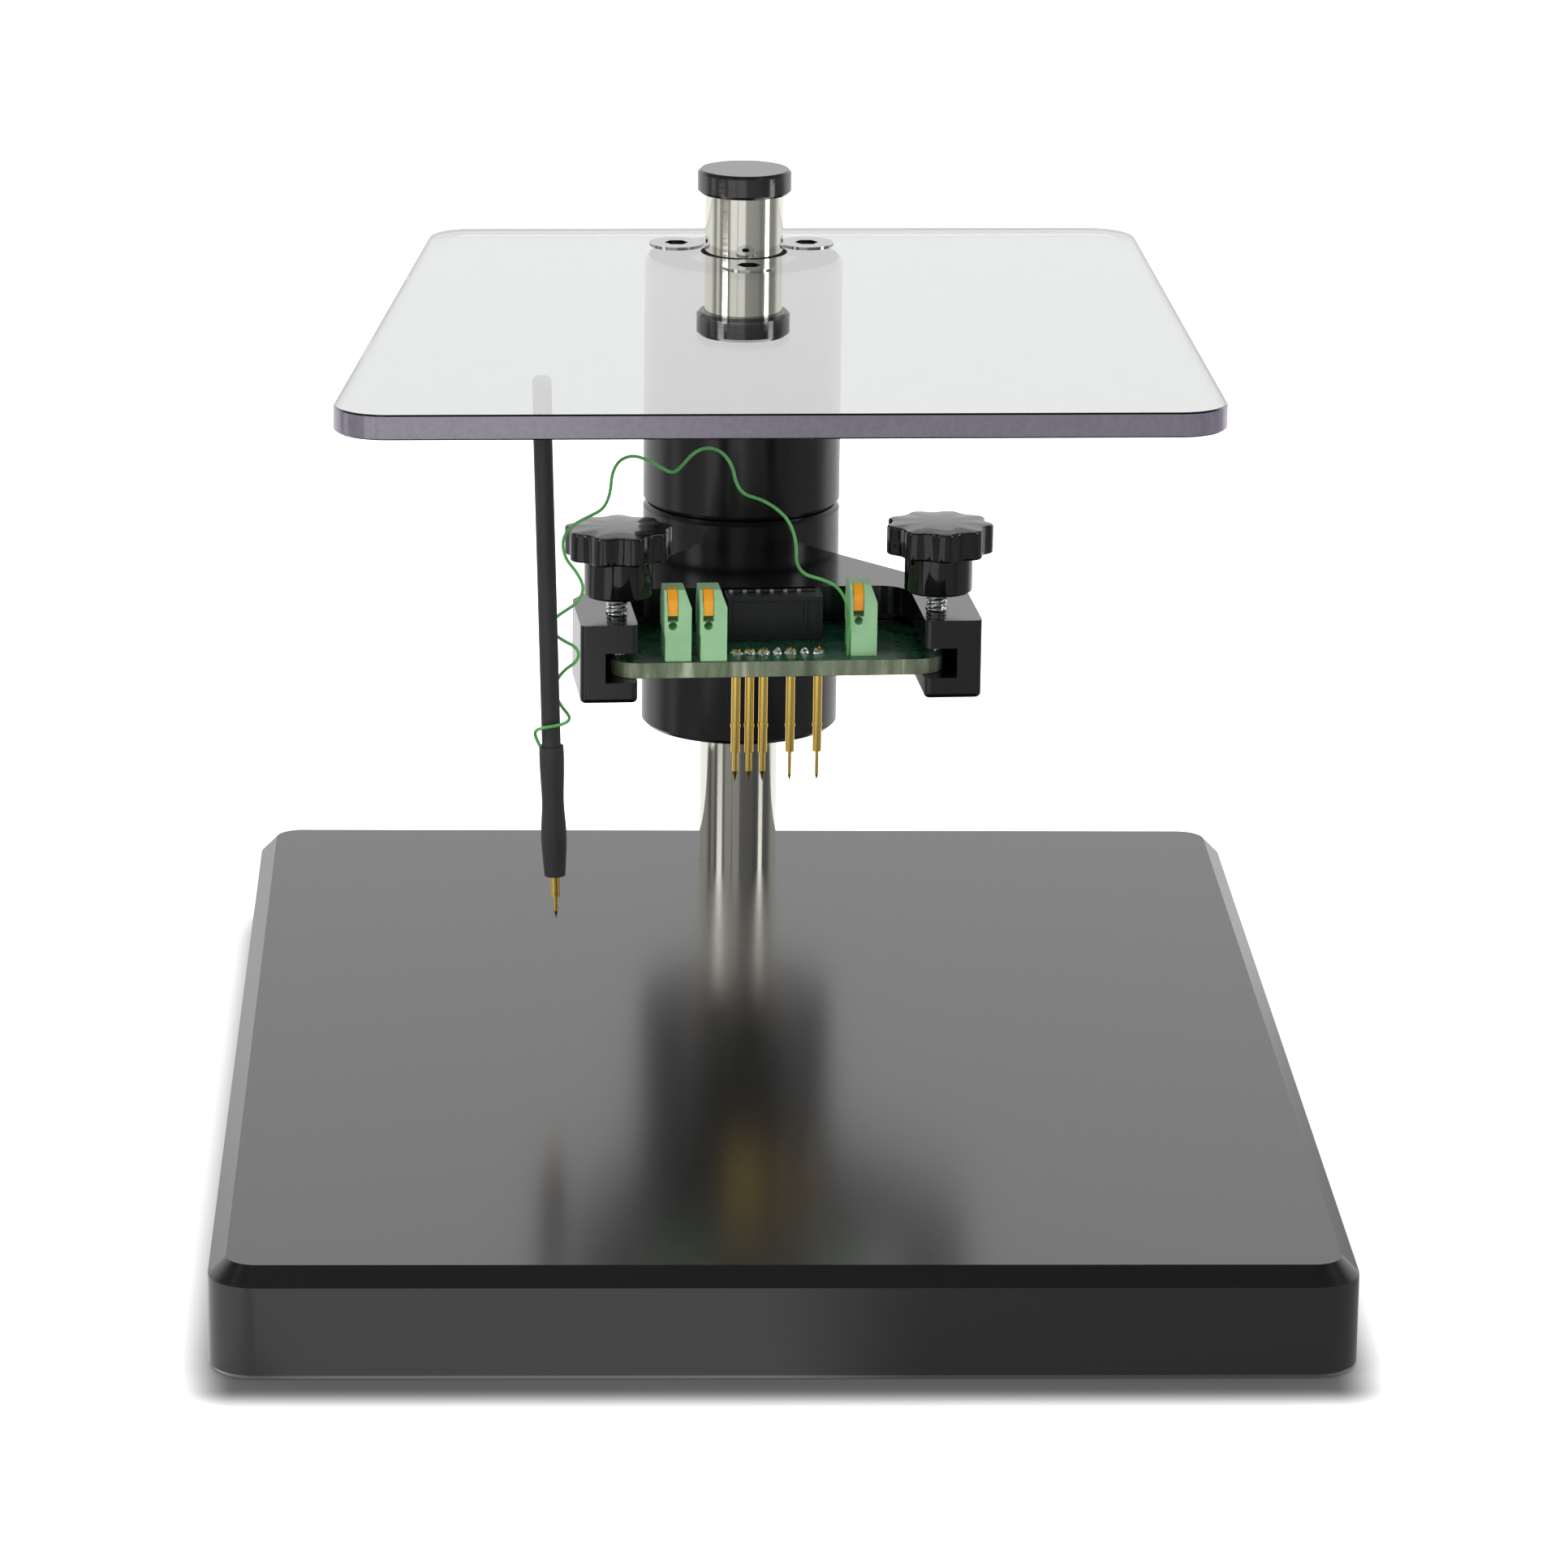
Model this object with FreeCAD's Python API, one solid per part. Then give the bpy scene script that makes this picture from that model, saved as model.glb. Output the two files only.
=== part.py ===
import FreeCAD, Part

import math
import os

from FreeCAD import Placement, Rotation, Vector

# Positioning frame for circuit boards: a heavy base, one ground column, a lower sleeve with a
# forked board holder, an upper sleeve with a clear plate, and a hand-held probe under the plate.
# Millimetres and degrees. The origin is the centre of the base's underside, +Z up, front at -Y.
# Names that end in _height are measured from the top face of the base.

# Base plate
base_width = 190.0
base_depth = 260.0
base_thickness = 19.0
base_corner_radius = 8.0
base_top_chamfer = 3.0
base_bottom_chamfer = 0.8

# Column, its cap and the screw that holds it
column_diameter = 15.0
column_side_offset = -1.2
column_from_back = 22.0
column_seat_depth = 6.0
column_end_chamfer = 0.8
cap_diameter = 18.0
cap_thickness = 4.6
column_above_plate = 16.1
cap_chamfer = 0.6
cap_spigot_diameter = 8.0
cap_spigot_length = 9.0
column_screw_diameter = 8.0
column_screw_grip = 20.0
column_screw_head_diameter = 13.0
column_screw_head_height = 8.0
column_screw_hex = 6.0
column_screw_recess = 0.6

# Sleeves and their split bushes
sleeve_diameter = 38.0
sleeve_chamfer = 0.8
lower_sleeve_bottom_height = 28.2
lower_sleeve_length = 44.0
sleeve_gap = 0.3
upper_sleeve_length = 44.3
bush_diameter = 21.0
bush_end_inset = 0.2
bush_slot = 1.5
bush_groove_depth = 1.2
bush_groove_play = 0.6

# Running clearances, each on the radius
column_clearance = 0.04
bush_clearance = 0.05
seat_clearance = 0.02
screw_clearance = 0.2
thread_clearance = 0.05

# Lock screws at the back of the sleeves
lower_lock_rise = 14.8
upper_lock_rise = 15.5
lock_knob_gap = 1.4
lock_tip_diameter = 3.0
lock_tip_length = 1.6
lock_tip_gap = 0.1

# Star knobs and their threaded studs
stud_diameter = 4.0
stud_pitch = 0.7
stud_tip_chamfer = 0.5
knob_diameter = 20.0
knob_lobes = 7
knob_head_height = 5.7
knob_hub_diameter = 12.0
knob_hub_height = 7.4
knob_lobe_radius = 2.1
knob_hollow_depth = 1.4
knob_edge_radius = 0.9
knob_hub_chamfer = 0.4
knob_stud_depth = 9.0

# Forked board holder on the lower sleeve
yoke_turn = 4.05
yoke_thickness = 14.8
yoke_below_seam = 4.9
yoke_front = 76.0
yoke_half_width = 37.1
yoke_block_width = 10.6
yoke_block_length = 20.0
yoke_waist_half_width = 27.7
yoke_waist = 39.5
yoke_back_wall = 49.0
yoke_inner_radius = 6.0
yoke_corner_radius = 1.2
yoke_bottom_radius = 0.9
yoke_root_width = 22.0
yoke_root_front = 17.2
yoke_root_depth = 6.5
slot_below_top = 10.9
slot_opening = 5.6
slot_side_depth = 6.0
slot_back = 44.0
slot_taper_angle = 29.5
yoke_screw_spread = 12.0
yoke_screw_diameter = 4.0
yoke_screw_length = 16.0
yoke_screw_head_diameter = 7.0
yoke_screw_head_height = 4.0
yoke_screw_hex = 3.0
yoke_screw_hex_depth = 1.8
yoke_screw_head_gap = 0.2

# Clamp screws that press on the board
clamp_spread = 59.4
clamp_from_column = 66.4
clamp_stud_showing = 3.5

# Adapter board
board_thickness = 3.0
board_width = 61.6
board_front = 73.3
board_end_gap = 0.7
board_corner_radius = 5.0
board_back_gap = 0.6
board_seat_gap = 0.05
board_shift = 0.2

# Push-in terminal blocks with orange release levers
terminal_width = 5.0
terminal_depth = 9.0
terminal_height = 13.2
terminal_lip = 3.1
terminal_front_chamfer = 1.6
terminal_side_chamfer = 1.1
terminal_back_lip = 3.6
terminal_back_chamfer = 2.0
terminal_base_height = 4.9
terminal_base_step = 0.15
terminal_lefts = (-21.4, -14.85, 13.2)
terminal_fronts = (72.7, 72.9, 70.6)
terminal_hole_diameter = 1.6
terminal_hole_height = 6.7
terminal_hole_depth = 5.0
terminal_hole_inset = 1.55
lever_inset = 0.65
lever_width = 1.8
lever_travel = 1.0
lever_gap = 0.08
lever_recess = 0.35
lever_bottom_height = 8.6
lever_depth = 1.6
lever_foot_depth = 2.5
lever_foot_rise = 1.2
lever_bevel = (1.6, 1.7)

# Box header with six contacts
header_width = 17.8
header_left = -8.3
header_front = 58.5
header_depth = 6.4
header_height = 8.3
header_wall = 0.9
header_slot_depth = 3.2
header_contacts = 6
header_rib_place = 14.6
header_rib_width = 0.7
header_panel_depth = 0.35
header_panel_margin = 0.9
contact_size = 0.64
contact_first = -7.3
contact_from_column = 54.2
contact_proud = 0.4
contact_clearance = 0.02

# Spring probes in the adapter board
probe_pitch = 2.54
probe_first = -7.6
probe_places = (0, 1, 2, 4, 6)
probe_heavy = (0, 1, 2)
probe_from_column = 67.6
probe_socket_diameter = 1.66
probe_socket_bore = 1.36
probe_socket_below_board = 15.85
probe_socket_top = 1.0
probe_crimp_above_mouth = 4.8
probe_crimp_diameter = 1.9
probe_crimp_length = 0.7
probe_plunger_heavy = 1.1
probe_plunger_light = 0.64
probe_plunger_shank = 1.26
probe_tip_below_mouth = 5.7
probe_shank_length = 6.0
probe_travel = 3.0
probe_bottom_room = 0.6
probe_shank_inset = 0.4
probe_nose_inset = 0.1
probe_tip_angle = 30.0
solder_radius = 1.25
solder_spare_radius = 0.85
solder_height = 0.8
solder_clearance = 0.01
solder_crown = 0.55

# Clear plate and its screws
plate_turn = 1.9
plate_thickness = 4.5
plate_front = 140.1
plate_back = 22.8
plate_front_left = 80.8
plate_front_right = 76.2
plate_back_left = 59.0
plate_back_right = 77.1
plate_corner_radius = 9.0
plate_edge_chamfer = 0.3
plate_column_hole = 16.6
plate_screw_circle = 29.0
plate_screw_count = 3
plate_screw_diameter = 6.0
plate_screw_length = 14.0
plate_screw_head_diameter = 10.4
plate_screw_proud = 0.3
plate_screw_land = 0.3
plate_screw_hex = 4.0
plate_screw_hex_depth = 2.2
plate_screw_start = 30.0

# Hand-held probe that stands under the plate
pen_top = (-39.0, -107.0)
pen_lean = 1.72
pen_length = 88.3
pen_diameter = 3.4
pen_plate_gap = 0.1
pen_end_radius = 0.5
pen_shrink_top = 64.1
pen_shrink_diameter = 4.4
pen_shrink_waist = 4.0
pen_shrink_wave = 0.1
pen_shrink_rises = (0.28, 0.45, 0.66, 0.88)
pen_socket_diameter = 1.7
pen_socket_bore = 1.24
pen_socket_showing = 4.0
pen_socket_hidden = 12.0
pen_plunger_diameter = 0.8
pen_plunger_shank = 1.14
pen_plunger_showing = 4.2
pen_shank_length = 5.0
pen_travel = 2.5

# Jumper wire from the adapter board to the hand-held probe, points chosen by hand
wire_diameter = 0.6
wire_route = (
    (16.6, 39.1, 78.45),
    (16.6, 39.1, 81.8),
    (16.7, 37.2, 85.4),
    (16.2, 35.2, 89.3),
    (14.4, 33.9, 92.8),
    (11.5, 33.5, 94.3),
    (8.0, 33.0, 95.3),
    (6.5, 32.5, 97.6),
    (6.6, 32.0, 101.4),
    (5.3, 31.5, 105.6),
    (2.9, 31.0, 108.2),
    (-0.1, 30.5, 110.1),
    (-3.4, 30.0, 111.1),
    (-4.8, 29.5, 113.5),
    (-5.4, 29.0, 116.7),
    (-7.3, 28.0, 119.5),
    (-9.9, 27.0, 120.7),
    (-12.5, 26.0, 119.9),
    (-14.4, 25.0, 117.9),
    (-16.2, 24.0, 116.3),
    (-18.5, 23.0, 117.7),
    (-21.2, 22.0, 119.5),
    (-23.8, 20.5, 120.6),
    (-26.2, 19.0, 120.0),
    (-27.5, 18.0, 117.7),
    (-27.7, 16.5, 114.6),
    (-28.9, 15.0, 111.9),
    (-31.8, 13.5, 110.8),
    (-34.9, 12.0, 109.5),
    (-36.5, 10.5, 107.2),
    (-35.9, 9.0, 104.2),
    (-33.8, 7.5, 102.1),
    (-32.4, 6.5, 99.5),
    (-33.5, 5.6, 97.0),
    (-36.2, 4.8, 95.4),
    (-38.3, 4.2, 94.0),
    (-38.3, 4.0, 91.9),
    (-36.2, 4.0, 90.3),
    (-33.5, 4.2, 88.9),
    (-33.4, 4.2, 86.6),
    (-36.4, 4.0, 84.6),
    (-38.2, 3.9, 81.4),
    (-36.5, 3.6, 78.2),
    (-34.9, 1.8, 76.8),
    (-35.3, -0.4, 76.4),
    (-37.2, -1.9, 76.1),
    (-39.6, -2.0, 75.8),
    (-41.2, -0.8, 75.0),
    (-41.2, 0.4, 73.4),
    (-40.3, 0.5, 71.65),
)

# Sizes that follow from the ones above
column_x = column_side_offset
column_y = base_depth / 2 - column_from_back
lower_sleeve_top = lower_sleeve_bottom_height + lower_sleeve_length
lower_lock_height = lower_sleeve_bottom_height + lower_lock_rise
upper_sleeve_bottom = lower_sleeve_top + sleeve_gap
upper_sleeve_top = upper_sleeve_bottom + upper_sleeve_length
upper_lock_height = upper_sleeve_bottom + upper_lock_rise
bush_bore = column_diameter + 2 * column_clearance
sleeve_bore = bush_diameter + 2 * bush_clearance
bush_groove_width = lock_tip_diameter + bush_groove_play
lock_tip_radius = bush_diameter / 2 - bush_groove_depth + lock_tip_gap
lock_hub_radius = sleeve_diameter / 2 + lock_knob_gap
lock_stud_length = lock_hub_radius + knob_stud_depth - lock_tip_radius
yoke_top_height = lower_sleeve_top - yoke_below_seam
yoke_bottom = yoke_top_height - yoke_thickness
yoke_screw_height = yoke_top_height - yoke_thickness / 2
yoke_shoulder = -yoke_front + yoke_block_length
yoke_inner_half = yoke_half_width - yoke_block_width
slot_bottom_height = yoke_top_height - slot_below_top
board_bottom = slot_bottom_height + board_seat_gap
board_top = board_bottom + board_thickness
probe_mouth_height = board_bottom - probe_socket_below_board
probe_shank_top = probe_mouth_height + probe_shank_length
plate_top = upper_sleeve_top + plate_thickness
cap_top_height = plate_top + column_above_plate
cap_bottom = cap_top_height - cap_thickness

Z = Vector(0, 0, 1)
BACK = Vector(0, 1, 0)


def cylinder(diameter, length, at=(0, 0, 0), along=Z):
    return Part.makeCylinder(diameter / 2, length, Vector(*at), along)


def block(x0, x1, y0, y1, z0, z1):
    return Part.makeBox(x1 - x0, y1 - y0, z1 - z0, Vector(x0, y0, z0))


def ring(outer, inner, length, at=(0, 0, 0)):
    return cylinder(outer, length, at).cut(cylinder(inner, length + 2, (at[0], at[1], at[2] - 1)))


def prism(points, z0, z1):
    corners = [Vector(x, y, z0) for x, y in points]
    face = Part.Face(Part.makePolygon(corners + corners[:1]))
    return face.extrude(Vector(0, 0, z1 - z0))


def hex_prism(across_flats, length, at):
    radius = across_flats / math.sqrt(3)
    points = [(radius * math.cos(math.radians(60 * i)) + at[0],
               radius * math.sin(math.radians(60 * i)) + at[1]) for i in range(6)]
    return prism(points, at[2], at[2] + length)


def revolve(profile):
    corners = [Vector(r, 0, z) for r, z in profile]
    face = Part.Face(Part.makePolygon(corners + corners[:1]))
    return face.revolve(Vector(0, 0, 0), Z, 360)


def edges_where(shape, test):
    return [edge for edge in shape.Edges if test(edge)]


def is_upright(edge):
    if len(edge.Vertexes) < 2:
        return False
    a, b = edge.Vertexes[0].Point, edge.Vertexes[1].Point
    return math.hypot(a.x - b.x, a.y - b.y) < 1e-6 and abs(a.z - b.z) > 1e-6


def is_level_at(edge, height):
    box = edge.BoundBox
    return abs(box.ZMin - height) < 1e-6 and abs(box.ZMax - height) < 1e-6


def near(edge, x, y, reach=0.6):
    # True where the edge's middle lies that close to a corner of an outline.
    middle = edge.BoundBox.Center
    return math.hypot(middle.x - x, middle.y - y) < reach


def turned(shape, angle):
    moved = shape.copy()
    moved.Placement = Placement(Vector(0, 0, 0), Rotation(Z, angle)).multiply(moved.Placement)
    return moved


def save(name, shape, turn=0.0):
    # Every piece is drawn about the column's axis with heights above the base, then set in place.
    placed = turned(shape, turn)
    placed.Placement = Placement(Vector(column_x, column_y, base_thickness),
                                 Rotation()).multiply(placed.Placement)
    write(name, placed)


def write(name, shape):
    solids = shape.Solids
    bad = not shape.isValid() or not solids
    print(name, len(solids), "solids", round(shape.Volume, 1), "mm3", "INVALID" if bad else "")
    single = solids[0] if len(solids) == 1 else Part.makeCompound(solids)
    single.exportStep("parts/" + name + ".step")


def base_plate():
    half_w, half_d = base_width / 2, base_depth / 2
    plate = block(-half_w, half_w, -half_d, half_d, 0, base_thickness)
    plate = plate.makeFillet(base_corner_radius, edges_where(plate, is_upright))
    top = edges_where(plate, lambda e: is_level_at(e, base_thickness))
    plate = plate.makeChamfer(base_top_chamfer, top)
    bottom = edges_where(plate, lambda e: is_level_at(e, 0))
    plate = plate.makeChamfer(base_bottom_chamfer, bottom)
    seat = cylinder(column_diameter + 2 * seat_clearance, column_seat_depth + 1,
                    (column_x, column_y, base_thickness - column_seat_depth))
    through = cylinder(column_screw_diameter + 2 * screw_clearance, base_thickness + 2,
                       (column_x, column_y, -1))
    recess = cylinder(column_screw_head_diameter + 4 * screw_clearance,
                      column_screw_head_height + column_screw_recess + 1, (column_x, column_y, -1))
    return plate.cut(seat).cut(through).cut(recess)


def column():
    bottom = -column_seat_depth
    rod = cylinder(column_diameter, cap_bottom - bottom, (0, 0, bottom))
    rims = edges_where(rod, lambda e: is_level_at(e, bottom))
    rod = rod.makeChamfer(column_end_chamfer, rims)
    tapped = cylinder(column_screw_diameter + 2 * thread_clearance, column_screw_grip + 2,
                      (0, 0, bottom - 1))
    spigot_hole = cylinder(cap_spigot_diameter + 2 * seat_clearance, cap_spigot_length + 2,
                           (0, 0, cap_bottom - cap_spigot_length - 1))
    return rod.cut(tapped).cut(spigot_hole)


def column_screw():
    head_top = -base_thickness + column_screw_recess + column_screw_head_height
    head = cylinder(column_screw_head_diameter, column_screw_head_height,
                    (0, 0, head_top - column_screw_head_height))
    shank = cylinder(column_screw_diameter, column_screw_grip, (0, 0, head_top))
    socket = hex_prism(column_screw_hex, column_screw_head_height / 2 + 1,
                       (0, 0, head_top - column_screw_head_height - 1))
    return head.fuse(shank).cut(socket).removeSplitter()


def column_cap():
    disc = cylinder(cap_diameter, cap_thickness, (0, 0, cap_bottom))
    rims = edges_where(disc, lambda e: is_level_at(e, cap_bottom) or is_level_at(e, cap_top_height))
    disc = disc.makeChamfer(cap_chamfer, rims)
    spigot = cylinder(cap_spigot_diameter, cap_spigot_length + cap_thickness / 2,
                      (0, 0, cap_bottom - cap_spigot_length))
    return disc.fuse(spigot).removeSplitter()


def bush(bottom, length, lock_height):
    low, high = bottom + bush_end_inset, bottom + length - bush_end_inset
    tube = ring(bush_diameter, bush_bore, high - low, (0, 0, low))
    groove = ring(bush_diameter + 1, bush_diameter - 2 * bush_groove_depth, bush_groove_width,
                  (0, 0, lock_height - bush_groove_width / 2))
    slit = block(bush_bore / 4, bush_diameter, -bush_slot / 2, bush_slot / 2, low - 1, high + 1)
    return tube.cut(groove).cut(slit)


def sleeve(bottom, length, lock_height):
    body = cylinder(sleeve_diameter, length, (0, 0, bottom))
    rims = edges_where(body, lambda e: is_level_at(e, bottom) or is_level_at(e, bottom + length))
    body = body.makeChamfer(sleeve_chamfer, rims)
    body = body.cut(cylinder(sleeve_bore, length + 2, (0, 0, bottom - 1)))
    tapped = cylinder(stud_diameter + 2 * thread_clearance, sleeve_diameter,
                      (0, 0, lock_height), BACK)
    return body.cut(tapped)


def yoke_screw_places():
    return (-yoke_screw_spread / 2, yoke_screw_spread / 2)


def yoke_screw_seat():
    # The heads sit in counterbores cut from the bore of the sleeve.
    return -sleeve_bore / 2 - yoke_screw_head_height


def yoke_screw_counterbore(x):
    return cylinder(yoke_screw_head_diameter + 2 * screw_clearance, -yoke_screw_seat(),
                    (x, 0, yoke_screw_height), Vector(0, -1, 0))


def lower_sleeve():
    body = sleeve(lower_sleeve_bottom_height, lower_sleeve_length, lower_lock_height)
    for x in yoke_screw_places():
        hole = cylinder(yoke_screw_diameter + 2 * screw_clearance, sleeve_diameter,
                        (x, 0, yoke_screw_height), Vector(0, -1, 0))
        body = body.cut(hole).cut(yoke_screw_counterbore(x))
    return body


def yoke_screws():
    screws = []
    seat = yoke_screw_seat()
    for x in yoke_screw_places():
        shank = cylinder(yoke_screw_diameter, yoke_screw_length, (x, seat, yoke_screw_height),
                         Vector(0, -1, 0))
        head_length = yoke_screw_head_height
        head = cylinder(yoke_screw_head_diameter, head_length,
                        (x, seat + head_length, yoke_screw_height), Vector(0, -1, 0))
        inside = cylinder(sleeve_bore + 2 * yoke_screw_head_gap, 2 * yoke_thickness,
                          (0, 0, yoke_screw_height - yoke_thickness))
        socket = hex_prism(yoke_screw_hex, yoke_screw_hex_depth + yoke_screw_head_gap, (0, 0, 0))
        socket.rotate(Vector(0, 0, 0), Vector(1, 0, 0), 90)
        socket.translate(Vector(x, seat + head_length + yoke_screw_head_gap, yoke_screw_height))
        screws.append(head.cut(inside).fuse(shank).cut(socket).removeSplitter())
    return Part.makeCompound(screws)


def yoke_outline():
    half, waist, root = yoke_half_width, yoke_waist_half_width, yoke_root_width / 2
    right = [(root, -yoke_root_front), (waist, -yoke_waist),
             (half, yoke_shoulder), (half, -yoke_front),
             (yoke_inner_half, -yoke_front), (yoke_inner_half, -yoke_back_wall)]
    left = [(-x, y) for x, y in reversed(right)]
    back = [(-root, yoke_root_depth - yoke_root_front), (root, yoke_root_depth - yoke_root_front)]
    return right + left + back


def slot_outline():
    side = yoke_inner_half + slot_side_depth
    run = -slot_back - yoke_shoulder
    back_half = side - run * math.tan(math.radians(slot_taper_angle))
    return [(-side, -yoke_front - 1), (side, -yoke_front - 1), (side, yoke_shoulder),
            (back_half, -slot_back), (-back_half, -slot_back), (-side, yoke_shoulder)]


def yoke():
    arms = prism(yoke_outline(), yoke_bottom, yoke_top_height)
    inner = edges_where(arms, lambda e: is_upright(e)
                        and near(e, math.copysign(yoke_inner_half, e.BoundBox.Center.x),
                                 -yoke_back_wall))
    arms = arms.makeFillet(yoke_inner_radius, inner)
    outer = edges_where(arms, lambda e: is_upright(e) and (
        near(e, math.copysign(yoke_half_width, e.BoundBox.Center.x), -yoke_front)
        or near(e, math.copysign(yoke_inner_half, e.BoundBox.Center.x), -yoke_front)
        or near(e, math.copysign(yoke_half_width, e.BoundBox.Center.x), yoke_shoulder)))
    arms = arms.makeFillet(yoke_corner_radius, outer)
    under = edges_where(arms, lambda e: is_level_at(e, yoke_bottom))
    body = arms.makeFillet(yoke_bottom_radius, under)
    body = body.cut(cylinder(sleeve_diameter + 2 * seat_clearance, 3 * yoke_thickness,
                             (0, 0, yoke_bottom - 1)))
    body = body.cut(prism(slot_outline(), slot_bottom_height, slot_bottom_height + slot_opening))
    for x in yoke_screw_places():
        tapped = cylinder(yoke_screw_diameter + 2 * thread_clearance,
                          yoke_screw_length - yoke_screw_seat(),
                          (x, 0, yoke_screw_height), Vector(0, -1, 0))
        body = body.cut(tapped).cut(yoke_screw_counterbore(x))
    for side in (-1, 1):
        tapped = cylinder(stud_diameter + 2 * thread_clearance, yoke_thickness,
                          (side * clamp_spread / 2, -clamp_from_column, slot_bottom_height + 1))
        body = body.cut(tapped)
    return body


def star_outline():
    # Round lobes joined by hollows, each arc tangent to the next.
    lobe, root = knob_lobe_radius, knob_diameter / 2 - knob_hollow_depth
    out = knob_diameter / 2 - lobe
    half_step = math.pi / knob_lobes
    lean = out * math.cos(half_step)
    hollow = (lobe ** 2 - out ** 2 - root ** 2 + 2 * root * lean) / (2 * (root - lean - lobe))
    edges = []
    for i in range(knob_lobes):
        middle = 2 * half_step * i
        centre = Vector(out * math.cos(middle), out * math.sin(middle), 0)
        gaps = [Vector((root + hollow) * math.cos(middle + side * half_step),
                       (root + hollow) * math.sin(middle + side * half_step), 0)
                for side in (-1, 1)]
        ends = [centre + (gap - centre).normalize() * lobe for gap in gaps]
        crest = centre + Vector(math.cos(middle), math.sin(middle), 0) * lobe
        edges.append(Part.Arc(ends[0], crest, ends[1]).toShape())
        low = gaps[1] - Vector(gaps[1]).normalize() * hollow
        following = 2 * half_step * (i + 1)
        next_centre = Vector(out * math.cos(following), out * math.sin(following), 0)
        far_end = next_centre + (gaps[1] - next_centre).normalize() * lobe
        edges.append(Part.Arc(ends[1], low, far_end).toShape())
    return Part.Wire(edges)


def star_knob():
    # Drawn with the hub's face at zero and the head above it.
    total = knob_hub_height + knob_head_height
    outline = star_outline()
    outline.translate(Vector(0, 0, knob_hub_height))
    head = Part.Face(outline).extrude(Vector(0, 0, knob_head_height))
    rims = edges_where(head, lambda e: is_level_at(e, total) or is_level_at(e, knob_hub_height))
    head = head.makeFillet(knob_edge_radius, rims)
    hub = cylinder(knob_hub_diameter, knob_hub_height + 1)
    hub = hub.makeChamfer(knob_hub_chamfer, edges_where(hub, lambda e: is_level_at(e, 0)))
    bore = cylinder(stud_diameter + 2 * seat_clearance, knob_stud_depth + 1, (0, 0, -1))
    return head.fuse(hub).removeSplitter().cut(bore)


def clamp_places():
    return {"left": -clamp_spread / 2, "right": clamp_spread / 2}


def clamp_stud():
    low = board_top + lock_tip_gap
    high = yoke_top_height + clamp_stud_showing + knob_stud_depth
    stud = cylinder(stud_diameter, high - low, (0, 0, low))
    return stud.makeChamfer(stud_tip_chamfer, edges_where(stud, lambda e: is_level_at(e, low)))


def lock_stud():
    # Drawn along +Z with its tip at zero; the plain tip runs in the groove of the bush.
    tip = cylinder(lock_tip_diameter, 2 * lock_tip_length)
    body = cylinder(stud_diameter, lock_stud_length - lock_tip_length, (0, 0, lock_tip_length))
    return tip.fuse(body).removeSplitter()


def lock_in_place(shape, height, from_axis):
    moved = shape.copy()
    moved.rotate(Vector(0, 0, 0), Vector(1, 0, 0), -90)
    moved.translate(Vector(0, from_axis, height))
    return moved


def adapter_board():
    half = board_width / 2
    back = -slot_back - board_back_gap
    back_half = slot_outline()[3][0] - board_end_gap - board_back_gap
    left, right = -half - board_shift, half - board_shift
    shoulder = yoke_shoulder - board_back_gap
    outline = [(left, -board_front), (right, -board_front), (right, shoulder),
               (back_half, back), (-back_half, back), (left, shoulder)]
    board = prism(outline, board_bottom, board_top)
    front = edges_where(board, lambda e: is_upright(e) and e.BoundBox.YMax < -board_front + 0.1)
    board = board.makeFillet(board_corner_radius, front)
    for place in range(probe_places[-1] + 1):
        hole = cylinder(probe_socket_diameter + 2 * thread_clearance, board_thickness + 2,
                        (probe_first + place * probe_pitch, -probe_from_column, board_bottom - 1))
        if place in probe_places:
            board = board.cut(hole)
    return board


def solder_joints():
    # A cone of solder round each probe, and a plain dome on the two places between them.
    joints = []
    for place in range(probe_places[-1] + 1):
        x, y = probe_at(place)
        at = Vector(x, y, board_top)
        if place in probe_places:
            bore = probe_socket_diameter + 2 * solder_clearance
            cone = Part.makeCone(solder_radius, bore / 2 + solder_clearance, solder_height, at)
            joints.append(cone.cut(cylinder(bore, 3 * solder_height, (x, y, at.z - solder_height))))
        else:
            crown = solder_spare_radius * solder_crown
            joints.append(Part.makeCone(solder_spare_radius, crown, solder_height, at))
    return Part.makeCompound(joints)


def terminal_profile():
    # Side view of a terminal: y from its front face, z from the board.
    return [(0, 0), (terminal_depth, 0), (terminal_depth, terminal_height - terminal_back_lip),
            (terminal_depth - terminal_back_chamfer, terminal_height),
            (terminal_front_chamfer, terminal_height), (0, terminal_height - terminal_lip)]


def terminal_side_wedge(left, front):
    # The corner cut off the right side, as high as the front lip.
    right, top = left + terminal_width, board_top + terminal_height
    corners = [Vector(right - terminal_side_chamfer, -front, top),
               Vector(right, -front, top - terminal_lip), Vector(right, -front, top)]
    side = Part.Face(Part.makePolygon(corners + corners[:1]))
    return side.extrude(Vector(0, terminal_depth, 0))


def terminal(left, front):
    corners = [Vector(left, -front + y, board_top + z) for y, z in terminal_profile()]
    side = Part.Face(Part.makePolygon(corners + corners[:1]))
    body = side.extrude(Vector(terminal_width, 0, 0)).cut(terminal_side_wedge(left, front))
    step = block(left - 1, left + terminal_base_step, -front - 1, -front + terminal_depth + 1,
                 board_top - 1, board_top + terminal_base_height)
    body = body.cut(step)
    hole = cylinder(terminal_hole_diameter, terminal_hole_depth,
                    (left + terminal_hole_inset, -front - 1, board_top + terminal_hole_height), BACK)
    return body.cut(hole).cut(lever_slot(left, front))


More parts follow.
